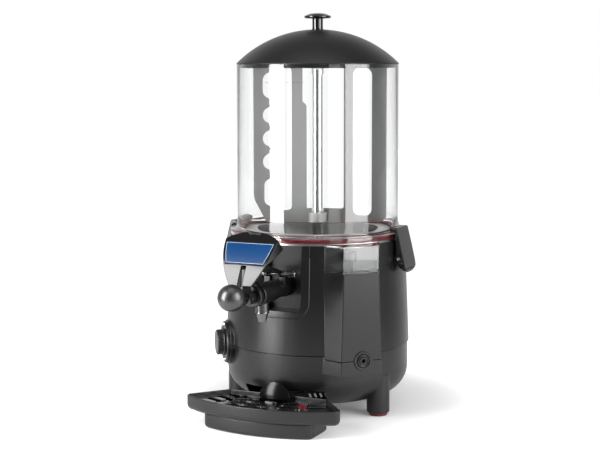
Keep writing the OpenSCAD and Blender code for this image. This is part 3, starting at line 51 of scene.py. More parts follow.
# A value on its way through a node tree; arithmetic on it adds Math nodes
class Wire:
    def __init__(self, graph, socket):
        self.graph = graph
        self.socket = socket

    def maths(self, operation, *values):
        return self.graph.node("ShaderNodeMath", {"operation": operation}, values)

    def __add__(self, other):
        return self.maths("ADD", self, other)

    def __radd__(self, other):
        return self.maths("ADD", other, self)

    def __sub__(self, other):
        return self.maths("SUBTRACT", self, other)

    def __rsub__(self, other):
        return self.maths("SUBTRACT", other, self)

    def __mul__(self, other):
        return self.maths("MULTIPLY", self, other)

    def __rmul__(self, other):
        return self.maths("MULTIPLY", other, self)

    def __lt__(self, other):
        return self.maths("LESS_THAN", self, other)

    def clamped(self, low=0.0):
        return self.graph.node("ShaderNodeClamp", {}, [self, low, 1.0])

    # The swing of a texture about its middle value
    def swing(self, amount):
        return (self - 0.5) * amount


class Graph:
    def __init__(self, tree):
        self.tree = tree

    def feed(self, socket, value):
        if isinstance(value, Wire):
            self.tree.links.new(value.socket, socket)
        elif socket.type == "RGBA" and len(value) == 3:
            socket.default_value = (*value, 1)
        else:
            socket.default_value = value

    # Any node: its type, its settings, then its sockets by order or by name
    def node(self, kind, settings, sockets, out=0):
        made = self.tree.nodes.new(kind)
        for key, value in settings.items():
            setattr(made, key, value)
        pairs = sockets.items() if isinstance(sockets, dict) else enumerate(sockets)
        for key, value in pairs:
            self.feed(made.inputs[key], value)
        return Wire(self, made.outputs[out])


class Finish(Graph):
    def __init__(self, name, slot, colour, roughness, **constants):
        material = bpy.data.materials.new(name)
        material.use_nodes = True
        super().__init__(material.node_tree)
        self.material = material
        self.slot = slot
        self.shader = self.tree.nodes["Principled BSDF"]
        self.paint(Base_Color=colour, Roughness=roughness, **constants)

    def place(self, stretch=(1, 1, 1)):
        spot = self.node("ShaderNodeTexCoord", {}, [], out="Object")
        return self.node("ShaderNodeVectorMath", {"operation": "MULTIPLY"}, [spot, stretch])

    def noise(self, scale, detail=2.0, stretch=(1, 1, 1)):
        return self.node(
            "ShaderNodeTexNoise", {"noise_dimensions": "3D"},
            {"Vector": self.place(stretch), "Scale": scale, "Detail": detail}, out="Fac",
        )

    # A colour mix, whose factor and colours are its sockets 0, 6 and 7
    def mixed(self, share, first, second):
        colours = {0: share, 6: first, 7: second}
        return self.node("ShaderNodeMix", {"data_type": "RGBA"}, colours, out=2)

    def bumped(self, height, strength, depth):
        return self.node("ShaderNodeBump", {}, {"Height": height, "Strength": strength, "Distance": depth})

    def paint(self, **sockets):
        for key, value in sockets.items():
            self.feed(self.shader.inputs[key.replace("_", " ")], value)
        return self


# Finishes

# Scales are per metre, depths in metres, gloss is a swing of the roughness, and a share says how
# much of the second colour a texture brings in
plasticLook = {
    "patchScale": 9.0, "patchStart": 0.35, "patchShare": 0.6, "grainShare": 0.2, "grainGloss": 0.06,
    "lighter": 1.6, "lift": 0.001, "depth": 0.0001,
}
metalLook = {
    "cloudScale": 14.0, "cloudShare": 0.3, "lineShare": 0.4, "gloss": 0.08, "darker": 0.82, "depth": 0.00005,
}
rubberLook = {
    "grainScale": 1800, "patchScale": 30, "gloss": 0.14, "deeper": 0.7, "strength": 0.3, "depth": 0.0001,
}
clearLook = {"flowScale": 6.0, "stretch": (1, 1, 0.35), "strength": 0.12, "depth": 0.0006}


# Moulded plastic: a fine grain, with soft patches of gloss and of a lighter black
def mouldedPlastic(name, slot, colour, roughness, grain=0.25, grainScale=2400, patch=0.1, **constants):
    look = plasticLook
    made = Finish(name, slot, colour, roughness, **constants)
    fine = made.noise(grainScale, 1.0)
    broad = made.noise(look["patchScale"], 3.0)
    lighter = tuple(c * look["lighter"] + look["lift"] for c in colour)
    share = (broad - look["patchStart"]).clamped() * look["patchShare"] + fine * look["grainShare"]
    made.paint(
        Base_Color=made.mixed(share, colour, lighter),
        Roughness=(roughness + broad.swing(patch) + fine.swing(look["grainGloss"])).clamped(),
        Normal=made.bumped(fine, grain, look["depth"]),
    )
    return made


# Metal drawn or turned along one direction, with fine lines across the light
def brushedMetal(name, slot, colour, roughness, stretch, lineScale, strength=0.12):
    look = metalLook
    made = Finish(name, slot, colour, roughness, Metallic=1.0)
    lines = made.noise(lineScale, stretch=stretch)
    cloud = made.noise(look["cloudScale"])
    darker = tuple(c * look["darker"] for c in colour)
    made.paint(
        Base_Color=made.mixed(lines * look["lineShare"] + cloud * look["cloudShare"], colour, darker),
        Roughness=(roughness + lines.swing(look["gloss"]) + cloud.swing(look["gloss"])).clamped(),
        Normal=made.bumped(lines, strength, look["depth"]),
    )
    return made


# Rubber: a matt grain over broad patches of a deeper red
def rubber(name, slot, colour, roughness):
    look = rubberLook
    made = Finish(name, slot, colour, roughness)
    fine = made.noise(look["grainScale"])
    broad = made.noise(look["patchScale"])
    deeper = tuple(c * look["deeper"] for c in colour)
    made.paint(
        Base_Color=made.mixed(broad, colour, deeper),
        Roughness=(roughness + fine.swing(look["gloss"])).clamped(),
        Normal=made.bumped(fine, look["strength"], look["depth"]),
    )
    return made


# Clear moulding: faint flow marks in the gloss only
def clearPlastic(name, slot, colour, roughness, ior):
    look = clearLook
    made = Finish(name, slot, colour, roughness, Transmission_Weight=1.0, IOR=ior)
    flow = made.noise(look["flowScale"], stretch=look["stretch"])
    made.paint(
        Roughness=(roughness + flow.swing(roughness)).clamped(),
        Normal=made.bumped(flow, look["strength"], look["depth"]),
    )
    return made


# The dome in the tray is smoother and darker than the rest of it
def darkenDome(made, s):
    spot = made.place()
    away = made.node("ShaderNodeVectorMath", {"operation": "DISTANCE"}, [spot, s["place"]], out="Value")
    satin = Wire(made, made.shader.inputs["Roughness"].links[0].from_socket)
    onDome = away < s["radius"]
    made.paint(Roughness=satin - onDome * s["smoother"], Metallic=onDome * s["darker"])


casingBlack = mouldedPlastic("casing black", "casing", (0.0036, 0.0036, 0.0038), 0.31, grain=0.3)
# The niche's copy of the casing black reflects less: a painted shade that darkens the recess
nicheShadedBlack = mouldedPlastic("niche shaded black", "casing", (0.0036, 0.0036, 0.0038), 0.31, grain=0.3, IOR=1.32)
lidBlack = mouldedPlastic(
    "lid black", "lid_plastic", (0.0026, 0.0026, 0.0027), 0.42, grain=0.55, grainScale=1500,
)
glossBlack = mouldedPlastic(
    "gloss black", "black_gloss", (0.0032, 0.0032, 0.0036), 0.13, grain=0.05, IOR=1.8,
)
ballBlack = mouldedPlastic("ball black", "ball_gloss", (0.005, 0.005, 0.0052), 0.34, grain=0.08, IOR=1.9)
knobBlack = mouldedPlastic("knob black", "knob_plastic", (0.0035, 0.0035, 0.0037), 0.32, grain=0.2)
tapBlack = mouldedPlastic("tap black", "tap_plastic", (0.0045, 0.0045, 0.0048), 0.28, grain=0.2)
hoodBlack = mouldedPlastic("hood black", "hood_plastic", (0.004, 0.004, 0.0044), 0.17, grain=0.04)
trayBlack = mouldedPlastic("tray black", "tray_plastic", (0.008, 0.008, 0.0084), 0.31, grain=0.3)
trayDome = {"place": (0.0, -0.149, 0.037), "radius": 0.0262, "smoother": 0.1, "darker": 0.6}
darkenDome(trayBlack, trayDome)
wellBlack = mouldedPlastic("well black", "well_plastic", (0.006, 0.006, 0.0063), 0.4, grain=0.3)
floatBlack = mouldedPlastic("float black", "float_plastic", (0.005, 0.005, 0.0053), 0.3, grain=0.1)
bushWhite = mouldedPlastic("bush white", "white_plastic", (0.34, 0.34, 0.33), 0.4, grain=0.1)
floatRed = mouldedPlastic("float red", "float_red", (0.14, 0.004, 0.008), 0.35, grain=0.08)
labelBlue = mouldedPlastic(
    "label blue", "label_blue", (0.0012, 0.036, 0.125), 0.34, grain=0.1, patch=0.16, IOR=1.3,
)
# Pale blue-white of the label's edge line, a painted highlight
edgeHighlightWhite = mouldedPlastic("edge highlight white", "white_plastic", (0.42, 0.5, 0.56), 0.4, grain=0.05)
dashGrey = mouldedPlastic("dash grey", "black_gloss", (0.05, 0.05, 0.05), 0.5, grain=0.05)
sheetBlack = mouldedPlastic(
    "sheet black", "cover_sheet", (0.006, 0.006, 0.0063), 0.42, grain=0.5, grainScale=900,
)
motorGrey = mouldedPlastic("motor grey", "motor", (0.035, 0.037, 0.039), 0.45, grain=0.5, grainScale=1100)
sealRed = rubber("seal red", "red_rubber", (0.17, 0.0045, 0.009), 0.42)
footRed = rubber("foot red", "foot_rubber", (0.16, 0.005, 0.008), 0.55)
evenly = (1, 1, 1)
bladeSteel = brushedMetal(
    "blade steel", "steel", (0.46, 0.46, 0.455), 0.33, (1, 1, 0.03), lineScale=2600, strength=0.05,
)
tankSteel = brushedMetal("tank steel", "steel", (0.66, 0.66, 0.65), 0.32, (0.2, 0.2, 1), lineScale=700)
brightSteel = brushedMetal(
    "bright steel", "bright_steel", (0.72, 0.72, 0.71), 0.14, evenly, lineScale=500, strength=0.03,
)
darkChrome = brushedMetal(
    "dark chrome", "bright_steel", (0.17, 0.17, 0.175), 0.2, evenly, lineScale=600, strength=0.03,
)
heaterSteel = brushedMetal("heater steel", "heater", (0.34, 0.31, 0.28), 0.42, evenly, lineScale=300)
pipeSteel = brushedMetal("pipe steel", "pipe", (0.5, 0.5, 0.5), 0.35, evenly, lineScale=600)
bowlClear = clearPlastic("bowl clear", "clear", (0.985, 0.99, 0.99), 0.012, 1.49)
coverClear = clearPlastic("cover clear", "clear", (0.975, 0.985, 0.985), 0.03, 1.49)
print("finishes made:", len(bpy.data.materials))

# Mesh helpers

crease = {"turned": 35, "rounded": 40}  # degrees between faces that keep a sharp edge
near = {"weld": 2e-6, "cut": 1e-6, "over": 1e-5}  # metres within which two points count as one


# Corners and faces in an order that is the same on every run, along a slanted line
def putInOrder(mesh):
    slant = Vector((1.0, 0.37, 0.113))
    mesh.verts.sort(key=lambda vert: vert.co.dot(slant))
    mesh.faces.sort(key=lambda face: face.calc_center_median().dot(slant))


# A new object from a bmesh, with smooth faces and sharp creases
def pieceFrom(name, mesh, angle=crease["turned"]):
    made = bpy.data.meshes.new(name)
    mesh.to_mesh(made)
    mesh.free()
    made.shade_smooth()
    made.set_sharp_from_angle(angle=math.radians(angle))
    obj = bpy.data.objects.new(name, made)
    bpy.context.scene.collection.objects.link(obj)
    return obj


# The material, the body it rides on, and the CAD nodes it stands for
def settle(obj, finish, body, *replaced):
    obj.data.materials.clear()
    obj.data.materials.append(finish.material)
    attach(obj, body)
    if replaced:
        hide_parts(*replaced)
    return obj


# The result of an object's modifiers, as a plain mesh in the same object
def baked(obj):
    graph = bpy.context.evaluated_depsgraph_get()
    mesh = bpy.data.meshes.new_from_object(obj.evaluated_get(graph))
    obj.modifiers.clear()
    old = obj.data
    obj.data = mesh
    mesh.name = obj.name
    bpy.data.meshes.remove(old)
    return obj


# Normals that leave the wide flat faces flat beside their rounded edges
def evened(obj):
    weigh = obj.modifiers.new("normals", "WEIGHTED_NORMAL")
    weigh.keep_sharp = True
    weigh.weight = 100
    return baked(obj)


# A copy of a solid's mesh, merged, and with the triangles of each flat face joined
def mergedCopy(node, flat):
    mesh = bmesh.new()
    mesh.from_mesh(nodes[node].data)
    bmesh.ops.remove_doubles(mesh, verts=mesh.verts, dist=near["weld"])
    bmesh.ops.dissolve_limit(mesh, angle_limit=math.radians(flat), verts=mesh.verts, edges=mesh.edges)
    return mesh


edgeRounds = {"steps": 2, "least": 28, "flat": 0.4}  # least and flat are degrees between faces


# A solid's own form with its edges rounded
def rounded(name, node, width):
    obj = pieceFrom(name, mergedCopy(node, edgeRounds["flat"]), crease["rounded"])
    if width:
        bevel = obj.modifiers.new("edges", "BEVEL")
        bevel.width = width
        bevel.segments = edgeRounds["steps"]
        bevel.limit_method = "ANGLE"
        bevel.angle_limit = math.radians(edgeRounds["least"])
        bevel.use_clamp_overlap = False
        bevel.miter_outer = "MITER_ARC"
        bevel.harden_normals = False
        baked(obj)
        obj.data.shade_smooth()
        obj.data.set_sharp_from_angle(angle=math.radians(crease["rounded"]))
    return evened(obj)


longestRound = 0.49  # of the shorter side at a corner


# An outline of (x, y, radius) corners as plain points, each corner rounded by its radius
def softened(corners, steps):
    made = []
    points = [Vector(corner[:2]) for corner in corners]
    for i, here in enumerate(points):
        radius = corners[i][2]
        if not radius:
            made.append((here.x, here.y))
            continue
        before = points[i - 1]
        after = points[(i + 1) % len(points)]
        back = before - here
        ahead = after - here
        reach = min(radius, back.length * longestRound, ahead.length * longestRound)
        back.normalize()
        ahead.normalize()
        half = math.acos(max(-1, min(1, back.dot(ahead)))) / 2
        size = reach * math.tan(half)
        middle = here + (back + ahead).normalized() * (reach / math.cos(half))
        start = here + back * reach - middle
        end = here + ahead * reach - middle
        swing = math.atan2(start.x * end.y - start.y * end.x, start.dot(end))
        base = math.atan2(start.y, start.x)
        for k in range(steps + 1):
            a = base + swing * k / steps
            made.append((middle.x + size * math.cos(a), middle.y + size * math.sin(a)))
    return made


# A turned form about Z from a closed outline of (radius, height) in mm, where a radius of 0
# makes one point
def turned(name, outline, sides):
    mesh = bmesh.new()
    rings = []
    for r, z in outline:
        around = [turn * k / sides for k in range(sides if r else 1)]
        rings.append([mesh.verts.new((r * mm * math.cos(a), r * mm * math.sin(a), z * mm)) for a in around])
    for first, second in zip(rings, rings[1:] + rings[:1]):
        if len(first) == 1 and len(second) == 1:
            continue
        for k in range(sides):
            n = (k + 1) % sides
            low = [first[k % len(first)], first[n % len(first)]]
            high = [second[n % len(second)], second[k % len(second)]]
            mesh.faces.new(list(dict.fromkeys(low + high)))
    bmesh.ops.recalc_face_normals(mesh, faces=mesh.faces)
    return pieceFrom(name, mesh)


# The casing's top edge, with its inner panel and both tank rims: where it ends, where what is
# over it moves up, and how far the outer wall draws in there
casingSizes = {"edge": 252.5, "cut": 235.5, "draw": 0.9935}
casingLift = max(0.0, casingSizes["edge"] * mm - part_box("upper_casing")[1][2])


# What stands over the cut moves up by the lift
def raised(obj, draw=1.0):
    mesh = bmesh.new()
    mesh.from_mesh(obj.data)
    cut = casingSizes["cut"] * mm
    level = {"plane_co": (0, 0, cut), "plane_no": (0, 0, 1)}
    everything = mesh.verts[:] + mesh.edges[:] + mesh.faces[:]
    bmesh.ops.bisect_plane(mesh, geom=everything, dist=near["cut"], **level)
    for vert in mesh.verts:
        if vert.co.z > cut + near["over"]:
            vert.co = (vert.co.x * draw, vert.co.y * draw, vert.co.z + casingLift)
    mesh.to_mesh(obj.data)
    mesh.free()
    return evened(obj)


# Pieces grown by node trees


# A piece made by a Geometry Nodes tree with named sizes, as a plain mesh
def grown(name, finish, build, **sizes):
    tree = bpy.data.node_groups.new(name, "GeometryNodeTree")
    graph = Graph(tree)
    tree.interface.new_socket("Geometry", in_out="OUTPUT", socket_type="NodeSocketGeometry")
    marks = {}
    for key, value in sizes.items():
        kind = "NodeSocketInt" if isinstance(value, int) else "NodeSocketFloat"
        marks[key] = tree.interface.new_socket(key, in_out="INPUT", socket_type=kind).identifier
    given = tree.nodes.new("NodeGroupInput")
    shape = build(graph, {key: Wire(graph, given.outputs[key]) for key in sizes})
    real = graph.node("GeometryNodeRealizeInstances", {}, [shape])
    dressed = graph.node("GeometryNodeSetMaterial", {}, {"Geometry": real, "Material": finish.material})
    end = tree.nodes.new("NodeGroupOutput")
    tree.links.new(dressed.socket, end.inputs[0])
    obj = pieceFrom(name, bmesh.new())
    growth = obj.modifiers.new("growth", "NODES")
    growth.node_group = tree
    for key, value in sizes.items():
        growth[marks[key]] = value
    baked(obj)
    obj.data.set_sharp_from_angle(angle=math.radians(crease["turned"]))
    return obj


def vectorOf(graph, x=0.0, y=0.0, z=0.0):
    return graph.node("ShaderNodeCombineXYZ", {}, [x, y, z])


# Copies on points, each with its X turned outwards from the middle
def facingOut(graph, points, shape):
    spot = graph.node("GeometryNodeInputPosition", {}, [])
    facing = graph.node("FunctionNodeAlignRotationToVector", {"axis": "X"}, {"Vector": spot})
    copies = {"Points": points, "Instance": shape, "Rotation": facing}
    return graph.node("GeometryNodeInstanceOnPoints", {}, copies)


# The shares of a screw head's radius and height that its top and its cross recess take
headShape = {"sides": 40, "top": 0.66, "slotReach": 1.05, "slotHeight": 1.1}


# A screw head with a cross recess, standing on its rim, facing up
def screwHead(graph, s):
    top = vectorOf(graph, 0.0, 0.0, s["height"])
    radii = {"Radius Top": s["radius"] * headShape["top"], "Radius Bottom": s["radius"]}
    sides = {"Vertices": headShape["sides"]}
    head = graph.node("GeometryNodeMeshCone", {}, {**sides, **radii, "Depth": s["height"]})
    reach = s["radius"] * headShape["slotReach"]
    cross = graph.node("GeometryNodeMeshBoolean", {"operation": "UNION"}, {})
    for across, along in ((s["slot"], reach), (reach, s["slot"])):
        size = vectorOf(graph, across, along, s["height"] * headShape["slotHeight"])
        bar = graph.node("GeometryNodeMeshCube", {}, {"Size": size})
        placed = graph.node("GeometryNodeTransform", {}, {"Geometry": bar, "Translation": top})
        graph.tree.links.new(placed.socket, cross.socket.node.inputs["Mesh 2"])
    cut = {"Mesh 1": head, "Mesh 2": cross}
    return graph.node("GeometryNodeMeshBoolean", {"operation": "DIFFERENCE"}, cut)


# Bowl, seal and lid

bowlSizes = {
    "outer": 119.0, "wall": 2.8, "top": 506.0,
    "flange": 129.0, "flangeTop": 266.0, "under": 262.0, "skirtWall": 2.8, "skirtEnd": 256.5,
    "rootOut": 3.0, "rootHeight": 13.0, "sides": 192, "steps": 6,
}


def makeBowl(s):
    inner = s["outer"] - s["wall"]
    skirtIn = s["flange"] - s["skirtWall"]
    outline = softened([
        (inner, s["under"], 0),
        (skirtIn, s["under"], 1.2),
        (skirtIn, s["skirtEnd"], 0.6),
        (s["flange"], s["skirtEnd"], 0.8),
        (s["flange"], s["flangeTop"], 2.2),
        (s["outer"] + s["rootOut"], s["flangeTop"], 3.5),
        (s["outer"], s["flangeTop"] + s["rootHeight"], 9.0),
        (s["outer"], s["top"], 0.8),
        (inner, s["top"], 0.8),
    ], s["steps"])
    settle(turned("bowl_shell", outline, s["sides"]), bowlClear, "base", "bowl")


makeBowl(bowlSizes)

sealSizes = {
    "inner": 112.2, "outer": 125.9, "low": 238.4 + casingLift / mm, "top": 262.0,
    "groove": 1.2, "grooveHalf": 1.2, "floorHalf": 0.5, "lip": 5.0, "lipDrop": 3.0,
    "sides": 160, "steps": 4,
}


def makeSeal(s):
    inner = s["inner"]
    outer = s["outer"]
    low = s["low"]
    top = s["top"]
    middle = (low + top) / 2
    outline = softened([
        (inner, low, 0.6),
        (outer, low, 0.8),
        (outer, middle - s["grooveHalf"], 0.4),
        (outer - s["groove"], middle - s["floorHalf"], 0.3),
        (outer - s["groove"], middle + s["floorHalf"], 0.3),
        (outer, middle + s["grooveHalf"], 0.4),
        (outer, top, 0.8),
        (inner + s["lip"], top, 1.0),
        (inner, top - s["lipDrop"], 0.8),
    ], s["steps"])
    settle(turned("seal_ring", outline, s["sides"]), sealRed, "base", "bowl_seal")


makeSeal(sealSizes)

lidSizes = {
    "foot": 119.0, "base": 507.5, "height": 49.0, "flat": 9.9, "thick": 3.0,
    "rim": 119.3, "rimBulge": 0.15, "rimTop": 0.4, "rimMiddle": 1.0, "rimEnd": 1.45,
    "ledge": 1.5, "inside": 115.8, "skirt": 6.0, "skirtWall": 2.5, "sides": 160, "steps": 28,
}


# A dome that is part of a sphere, flat in the middle, with a thin rim and a skirt under it
def makeLid(s):
    steps = s["steps"]
    radius = (s["foot"] ** 2 + s["height"] ** 2) / (2 * s["height"])
    centre = s["base"] + s["height"] - radius
    skirtIn = s["inside"] - s["skirtWall"]
    ledge = s["base"] - s["ledge"]

    def domeHeight(r, drop=0.0):
        return centre + math.sqrt((radius - drop) ** 2 - r * r)

    outline = [(0, domeHeight(s["flat"]))]
    for i in range(steps + 1):
        r = s["flat"] + (s["foot"] - s["flat"]) * i / steps
        outline.append((r, domeHeight(r)))
    for out, drop in ((0, s["rimTop"]), (s["rimBulge"], s["rimMiddle"]), (0, s["rimEnd"])):
        outline.append((s["rim"] + out, s["base"] - drop))
    outline += [(s["inside"], ledge), (s["inside"], ledge - s["skirt"]), (skirtIn, ledge - s["skirt"])]
    for i in range(steps, -1, -1):
        r = skirtIn * i / steps
        outline.append((r, domeHeight(r, s["thick"])))
    settle(turned("lid_dome", outline, s["sides"]), lidBlack, "lid_unit", "lid")


makeLid(lidSizes)

# Copies of the solids: name, node, width of the rounded edges in metres, finish, and the body
# or how far the part over the cut draws in
for name, node, width, finish, body in [
    ("lower_shell", "lower_casing", 0.0007, casingBlack, "base"),
    ("agitator_blades", "agitator", 0.0003, bladeSteel, "stirrer"),
    ("latch_l", "latch_left", 0.0016, casingBlack, "left_latch"),
    ("latch_r", "latch_right", 0.0016, casingBlack, "right_latch"),
    ("hood_shell", "tap_hood", 0.0006, hoodBlack, "base"),
    ("tap_barrel", "tap_body", 0.0006, tapBlack, "base"),
    ("tray_pan", "drip_tray", 0.0009, trayBlack, "tray"),
    ("tray_grille", "drip_grille", 0.0004, glossBlack, "grille"),
    ("lever_arm", "tap_lever", 0.0008, tapBlack, "lever"),
    ("box_cover", "filler_cover", 0.0006, coverClear, "cover"),
    ("dial_knob", "thermostat_knob", 0.0005, knobBlack, "knob"),
]:
    settle(rounded(name, node, width), finish, body, node)

for name, node, width, finish, draw in [
    ("upper_shell", "upper_casing", 0.0007, casingBlack, casingSizes["draw"]),
    ("niche_panel", "front_panel", 0.0004, nicheShadedBlack, 1.0),
    ("jacket_wall", "jacket_tank", 0.0, tankSteel, 1.0),
    ("tank_wall", "product_tank", 0.0, tankSteel, 1.0),
]:
    settle(raised(rounded(name, node, width), draw), finish, "base", node)
print("copies of the solids dressed")

# Small repeated parts

plateScrews = {
    "radius": 0.0036, "height": 0.0021, "slot": 0.0009,
    "out": 0.143, "middle": 0.0975, "apart": 0.052,
}
knobAngle = -52.5


# Two screws one over the other, with their heads to the front
def screwPair(graph, s):
    start = vectorOf(graph, 0.0, -1.0 * s["out"], s["middle"] - s["apart"] * 0.5)
    step = vectorOf(graph, 0.0, 0.0, s["apart"])
    points = graph.node("GeometryNodeMeshLine", {}, {"Count": 2, "Start Location": start, "Offset": step})
    facing = vectorOf(graph, math.pi / 2)
    copies = {"Points": points, "Instance": screwHead(graph, s), "Rotation": facing}
    return graph.node("GeometryNodeInstanceOnPoints", {}, copies)


screws = grown("plate_screws", brightSteel, screwPair, **plateScrews)
screws.data.transform(Matrix.Rotation(math.radians(knobAngle), 4, "Z"))
settle(screws, brightSteel, "base", "knob_plate_screws")

baseScrews = {
    "radius": 0.0038, "height": 0.002, "slot": 0.0009,
    "circle": 0.082, "count": 4, "level": 0.0188,
}
baseScrewAngle = 45


# Screws on a circle, with their heads down
def screwCircle(graph, s):
    ring = graph.node("GeometryNodeMeshCircle", {}, {"Vertices": s["count"], "Radius": s["circle"]})
    down = vectorOf(graph, math.pi)
    copies = {"Points": ring, "Instance": screwHead(graph, s), "Rotation": down}
    made = graph.node("GeometryNodeInstanceOnPoints", {}, copies)
    level = vectorOf(graph, 0.0, 0.0, s["level"])
    return graph.node("GeometryNodeTransform", {}, {"Geometry": made, "Translation": level})


screws = grown("base_screws", brightSteel, screwCircle, **baseScrews)
screws.data.transform(Matrix.Rotation(math.radians(baseScrewAngle), 4, "Z"))
settle(screws, brightSteel, "base", "cover_screws")

# Ribs round the nut of the cross bolt
nutRibs = {"count": 22, "radius": 0.0045, "rib": 0.0007, "length": 0.0094}
nutPlace = (0.02595, -0.145, 0.215)


def ribRing(graph, s):
    ring = graph.node("GeometryNodeMeshCircle", {}, {"Vertices": s["count"], "Radius": s["radius"]})
    rib = graph.node("GeometryNodeMeshCube", {}, {"Size": vectorOf(graph, s["rib"], s["rib"], s["length"])})
    return facingOut(graph, ring, rib)


ribs = grown("nut_ribs", darkChrome, ribRing, **nutRibs)
ribs.data.transform(Matrix.Translation(nutPlace) @ Matrix.Rotation(math.radians(90), 4, "Y"))
settle(ribs, darkChrome, "base")

# Thin dashes of the fill level on the front of the bowl
levelDashes = {
    "count": 9, "radius": 0.11906, "start": -103.0, "sweep": 27.0,
    "dash": 0.0042, "deep": 0.0003, "tall": 0.0005,
}
levelHeight = 0.48


def dashRow(graph, s):
    toRadians = math.pi / 180
    row = graph.node(
        "GeometryNodeCurveArc", {"mode": "RADIUS"},
        {
            "Resolution": s["count"], "Radius": s["radius"],
            "Start Angle": s["start"] * toRadians, "Sweep Angle": s["sweep"] * toRadians,
        },
    )
    dash = graph.node("GeometryNodeMeshCube", {}, {"Size": vectorOf(graph, s["deep"], s["dash"], s["tall"])})
    return facingOut(graph, row, dash)


dashes = grown("level_dashes", dashGrey, dashRow, **levelDashes)
dashes.data.transform(Matrix.Translation((0, 0, levelHeight)))
settle(dashes, dashGrey, "base")
print("repeated parts grown")

# Border of the label: a white line that paints the highlight along its edges

labelSizes = {"highlightWidth": 0.0005, "edge": 0.0005, "proud": 0.00015, "flat": 1.0, "facing": 0.8}


# A thin raised line inside the edge of the label's front face, its white a painted highlight along the edge
def makeEdgeHighlight(s):
    mesh = mergedCopy("hood_label", s["flat"])
    front = max(mesh.faces, key=lambda face: face.calc_area() * max(0.0, -face.normal.y))
    normal = front.normal.copy()
    sides = [face for face in mesh.faces if face.normal.dot(normal) < s["facing"]]
    bmesh.ops.delete(mesh, geom=sides, context="FACES")
    even = {"use_even_offset": True, "use_boundary": True}
    outside = bmesh.ops.inset_region(mesh, faces=mesh.faces[:], thickness=s["edge"], **even)["faces"]
    bmesh.ops.delete(mesh, geom=outside, context="FACES")
    line = set(bmesh.ops.inset_region(mesh, faces=mesh.faces[:], thickness=s["highlightWidth"], **even)["faces"])
    bmesh.ops.delete(mesh, geom=[face for face in mesh.faces if face not in line], context="FACES")
    raisedGeometry = bmesh.ops.extrude_face_region(mesh, geom=mesh.faces[:])["geom"]
    tops = [part for part in raisedGeometry if isinstance(part, bmesh.types.BMVert)]
    bmesh.ops.translate(mesh, verts=tops, vec=normal * s["proud"])
    bmesh.ops.recalc_face_normals(mesh, faces=mesh.faces)
    putInOrder(mesh)
    settle(pieceFrom("label_edge_highlight", mesh), edgeHighlightWhite, "base")


makeEdgeHighlight(labelSizes)

# Finishes of the solids that stay as they are

nodeFinishes = {
    casingBlack: ["cable_gland"],
    sheetBlack: ["bottom_cover"],
    footRed: ["rubber_feet"],
    tankSteel: ["motor_bracket", "drive_shaft", "lid_screw"],
    brightSteel: [
        "column_tube", "drive_cap", "latch_pins", "fork_pin", "lever_pin", "tap_spring", "casing_screws",
    ],
    darkChrome: ["tap_nozzle", "tie_rod", "tie_nut"],
    heaterSteel: ["heater_ring"],
    motorGrey: ["gear_motor"],
    pipeSteel: ["drain_pipe", "thermostat"],
    glossBlack: ["agitator_nut", "lid_knob"],
    bushWhite: ["column_bush"],
    wellBlack: ["filler_well", "drain_ring", "drain_plug"],
    floatBlack: ["level_float"],
    knobBlack: ["knob_plate"],
    tapBlack: ["tap_gland", "tap_piston", "piston_seals"],
    ballBlack: ["tap_ball"],
    labelBlue: ["hood_label"],
    floatRed: ["tray_float"],
}
for finish, names in nodeFinishes.items():
    for name in names:
        nodes[name].data.materials.clear()
        nodes[name].data.materials.append(finish.material)

# Floor, light and camera

cameraSizes = {
    "focal": 1356.24, "frame": 600, "sensor": 36.0, "clipEnd": 40,  # focal and frame in pixels
    "distance": 2.00828, "height": 0.50289, "azimuth": 24.0,
    "yaw": 0.75, "pitch": 6.68, "roll": -0.09,
}
viewHeading = math.radians(cameraSizes["azimuth"] + cameraSizes["yaw"])
behindView = (-math.sin(viewHeading), math.cos(viewHeading), 0.0)  # level, away from the camera


# Rays that came straight through clear plastic, with no reflection on the way
def seenThrough(graph):
    through = graph.node("ShaderNodeLightPath", {}, [], out="Is Transmission Ray")
    mirrored = graph.node("ShaderNodeLightPath", {}, [], out="Glossy Depth")
    return through * (mirrored < 0.5)


# The floor's glow is least at near from the axis and full beyond far: the dim ring round the base is a
# painted shadow. Mirrored rays get a share of the glow, which grows behind the object from mirrorNear to
# mirrorFar. Its white turns to a grey from greyNear to greyFar.
floorSizes = {
    "half": 6.0, "white": 0.9, "grey": 0.12, "glow": 1.0, "least": 0.12, "near": 0.15, "far": 0.38,
    "rough": 0.65, "gloss": 0.1, "glossScale": 3.0,
    "mirrored": 0.12, "backMirrored": 0.7, "mirrorNear": 0.1, "mirrorFar": 0.9,
    "greyNear": 0.45, "greyFar": 1.1,
}


